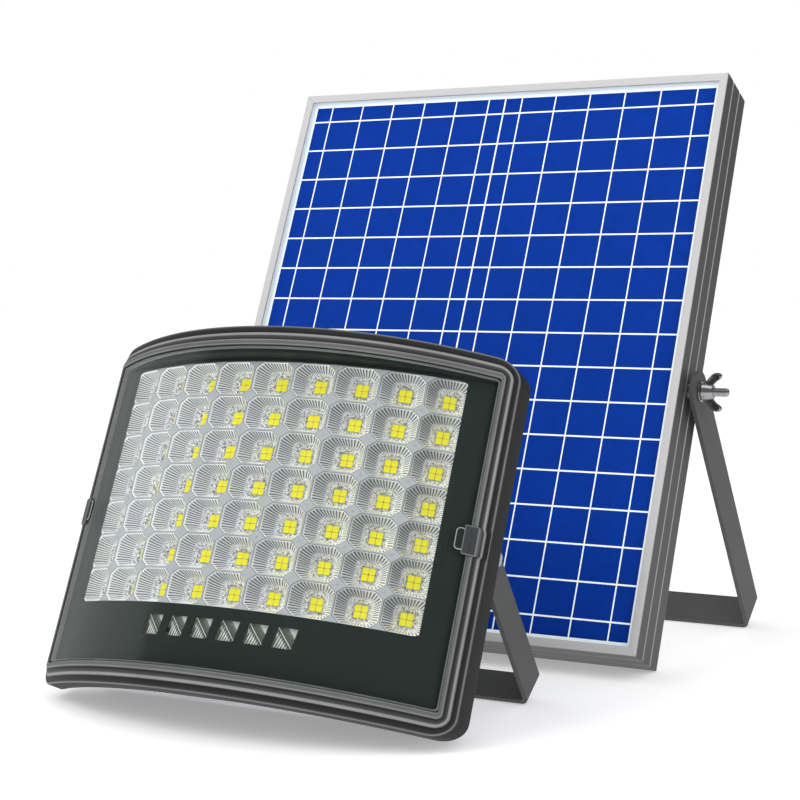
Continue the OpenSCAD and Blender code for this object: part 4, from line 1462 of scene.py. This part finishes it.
class FLOOD_OT_stage(bpy.types.Operator):
    """Pale floor, soft light and the camera"""

    bl_idname = "flood.stage"
    bl_label = "Stage"

    def execute(self, context):
        scene = context.scene
        t = scene.flood_stage
        corners = [(t.floor * x, t.floor * y, 0) for x, y in ((-1, -1), (1, -1), (1, 1), (-1, 1))]
        mesh = bpy.data.meshes.new("floor")
        mesh.from_pydata(corners, [], [(0, 1, 2, 3)])
        mesh.materials.append(finish_of("floor_paper"))
        floor = bpy.data.objects.new("floor", mesh)
        scene.collection.objects.link(floor)
        floor.visible_glossy = False
        self.sky(scene)
        for name, place, size, power, aim in (
            ("key", (-0.9, -1.5, 1.7), 1.2, 16, (0, 0, 0.15)),
            ("fill", (1.9, -1.2, 1.1), 1.4, 10, (0, 0, 0.2)),
        ):
            light = bpy.data.lights.new(name, "AREA")
            light.size = size
            light.energy = power
            lamp = bpy.data.objects.new(name, light)
            lamp.location = place
            direction = np.array(aim) - np.array(place)
            lamp.rotation_euler = (
                np.arccos(-direction[2] / np.linalg.norm(direction)),
                0,
                np.arctan2(direction[1], direction[0]) - np.pi / 2,
            )
            lamp.visible_glossy = False
            scene.collection.objects.link(lamp)
        view = bpy.data.cameras.new("camera")
        view.lens = t.lens
        view.sensor_width = 36
        view.clip_end = 100
        camera = bpy.data.objects.new("camera", view)
        camera.location = t.camera
        camera.rotation_euler = (np.pi / 2 - t.pitch, 0, t.azimuth)
        scene.collection.objects.link(camera)
        scene.camera = camera
        scene.view_settings.view_transform = "Standard"
        return {"FINISHED"}

    def sky(self, scene):
        """A white studio, a little dimmer where it lights the parts. Mirrored light comes from a dim room
        with a lit ceiling, floor and left-hand screen."""
        world = bpy.data.worlds.new("studio")
        scene.world = world
        s = Shading(world, "ShaderNodeOutputWorld")
        where = s.node("ShaderNodeTexCoord", output="Generated")
        parts = s.node("ShaderNodeSeparateXYZ", None, {"Vector": where})
        x, z = parts, Socket(s, parts.output.node.outputs["Z"])
        walls, ceiling, floor, screen = 0.12, 0.8, 0.50, 0.42
        room = walls + step_of(s, z, 0.84, 0.93, ceiling) + step_of(s, z, 0.0, -0.10, floor)
        room = room + step_of(s, x, -0.78, -0.86, screen)
        rays = lambda kind: s.node("ShaderNodeLightPath", output=kind)
        sight, mirror = rays("Is Camera Ray"), rays("Is Glossy Ray")
        level = 0.8 + 0.2 * sight
        strength = level * (1 - mirror) + room * mirror
        back = s.node("ShaderNodeBackground", None, {"Color": (1, 1, 1), "Strength": strength})
        s.tree.links.new(back.output, s.out.inputs["Surface"])


# ---------------------------------------------------------------- add-on


class FLOOD_PT_panel(bpy.types.Panel):
    """Lists the steps that build the flood light's looks"""

    bl_idname = "FLOOD_PT_panel"
    bl_label = "Flood light"
    bl_space_type = "VIEW_3D"
    bl_region_type = "UI"
    bl_category = "Flood light"

    def draw(self, context):
        for step in STEPS:
            self.layout.operator(step.bl_idname)
        for group in GROUPS:
            settings = getattr(context.scene, group)
            for name in settings.__annotations__:
                self.layout.prop(settings, name)


GROUPS = {
    "flood_lamp": LampSizes,
    "flood_grid": GridSizes,
    "flood_panel": PanelSizes,
    "flood_finishes": Finishes,
    "flood_stage": StageSettings,
}
STEPS = [
    FLOOD_OT_bezel,
    FLOOD_OT_glass,
    FLOOD_OT_reflector,
    FLOOD_OT_mask,
    FLOOD_OT_lights,
    FLOOD_OT_clips,
    FLOOD_OT_rails,
    FLOOD_OT_laminate,
    FLOOD_OT_fasteners,
    FLOOD_OT_castings,
    FLOOD_OT_plain_nodes,
    FLOOD_OT_stage,
]


def register():
    for kind in (*GROUPS.values(), *STEPS, FLOOD_PT_panel):
        bpy.utils.register_class(kind)
    for name, kind in GROUPS.items():
        setattr(bpy.types.Scene, name, PointerProperty(type=kind))


def unregister():
    for name in GROUPS:
        delattr(bpy.types.Scene, name)
    for kind in reversed((*GROUPS.values(), *STEPS, FLOOD_PT_panel)):
        bpy.utils.unregister_class(kind)


def main():
    register()
    for step in STEPS:
        group, name = step.bl_idname.split(".")
        getattr(getattr(bpy.ops, group), name)()


if __name__ == "__main__":
    main()
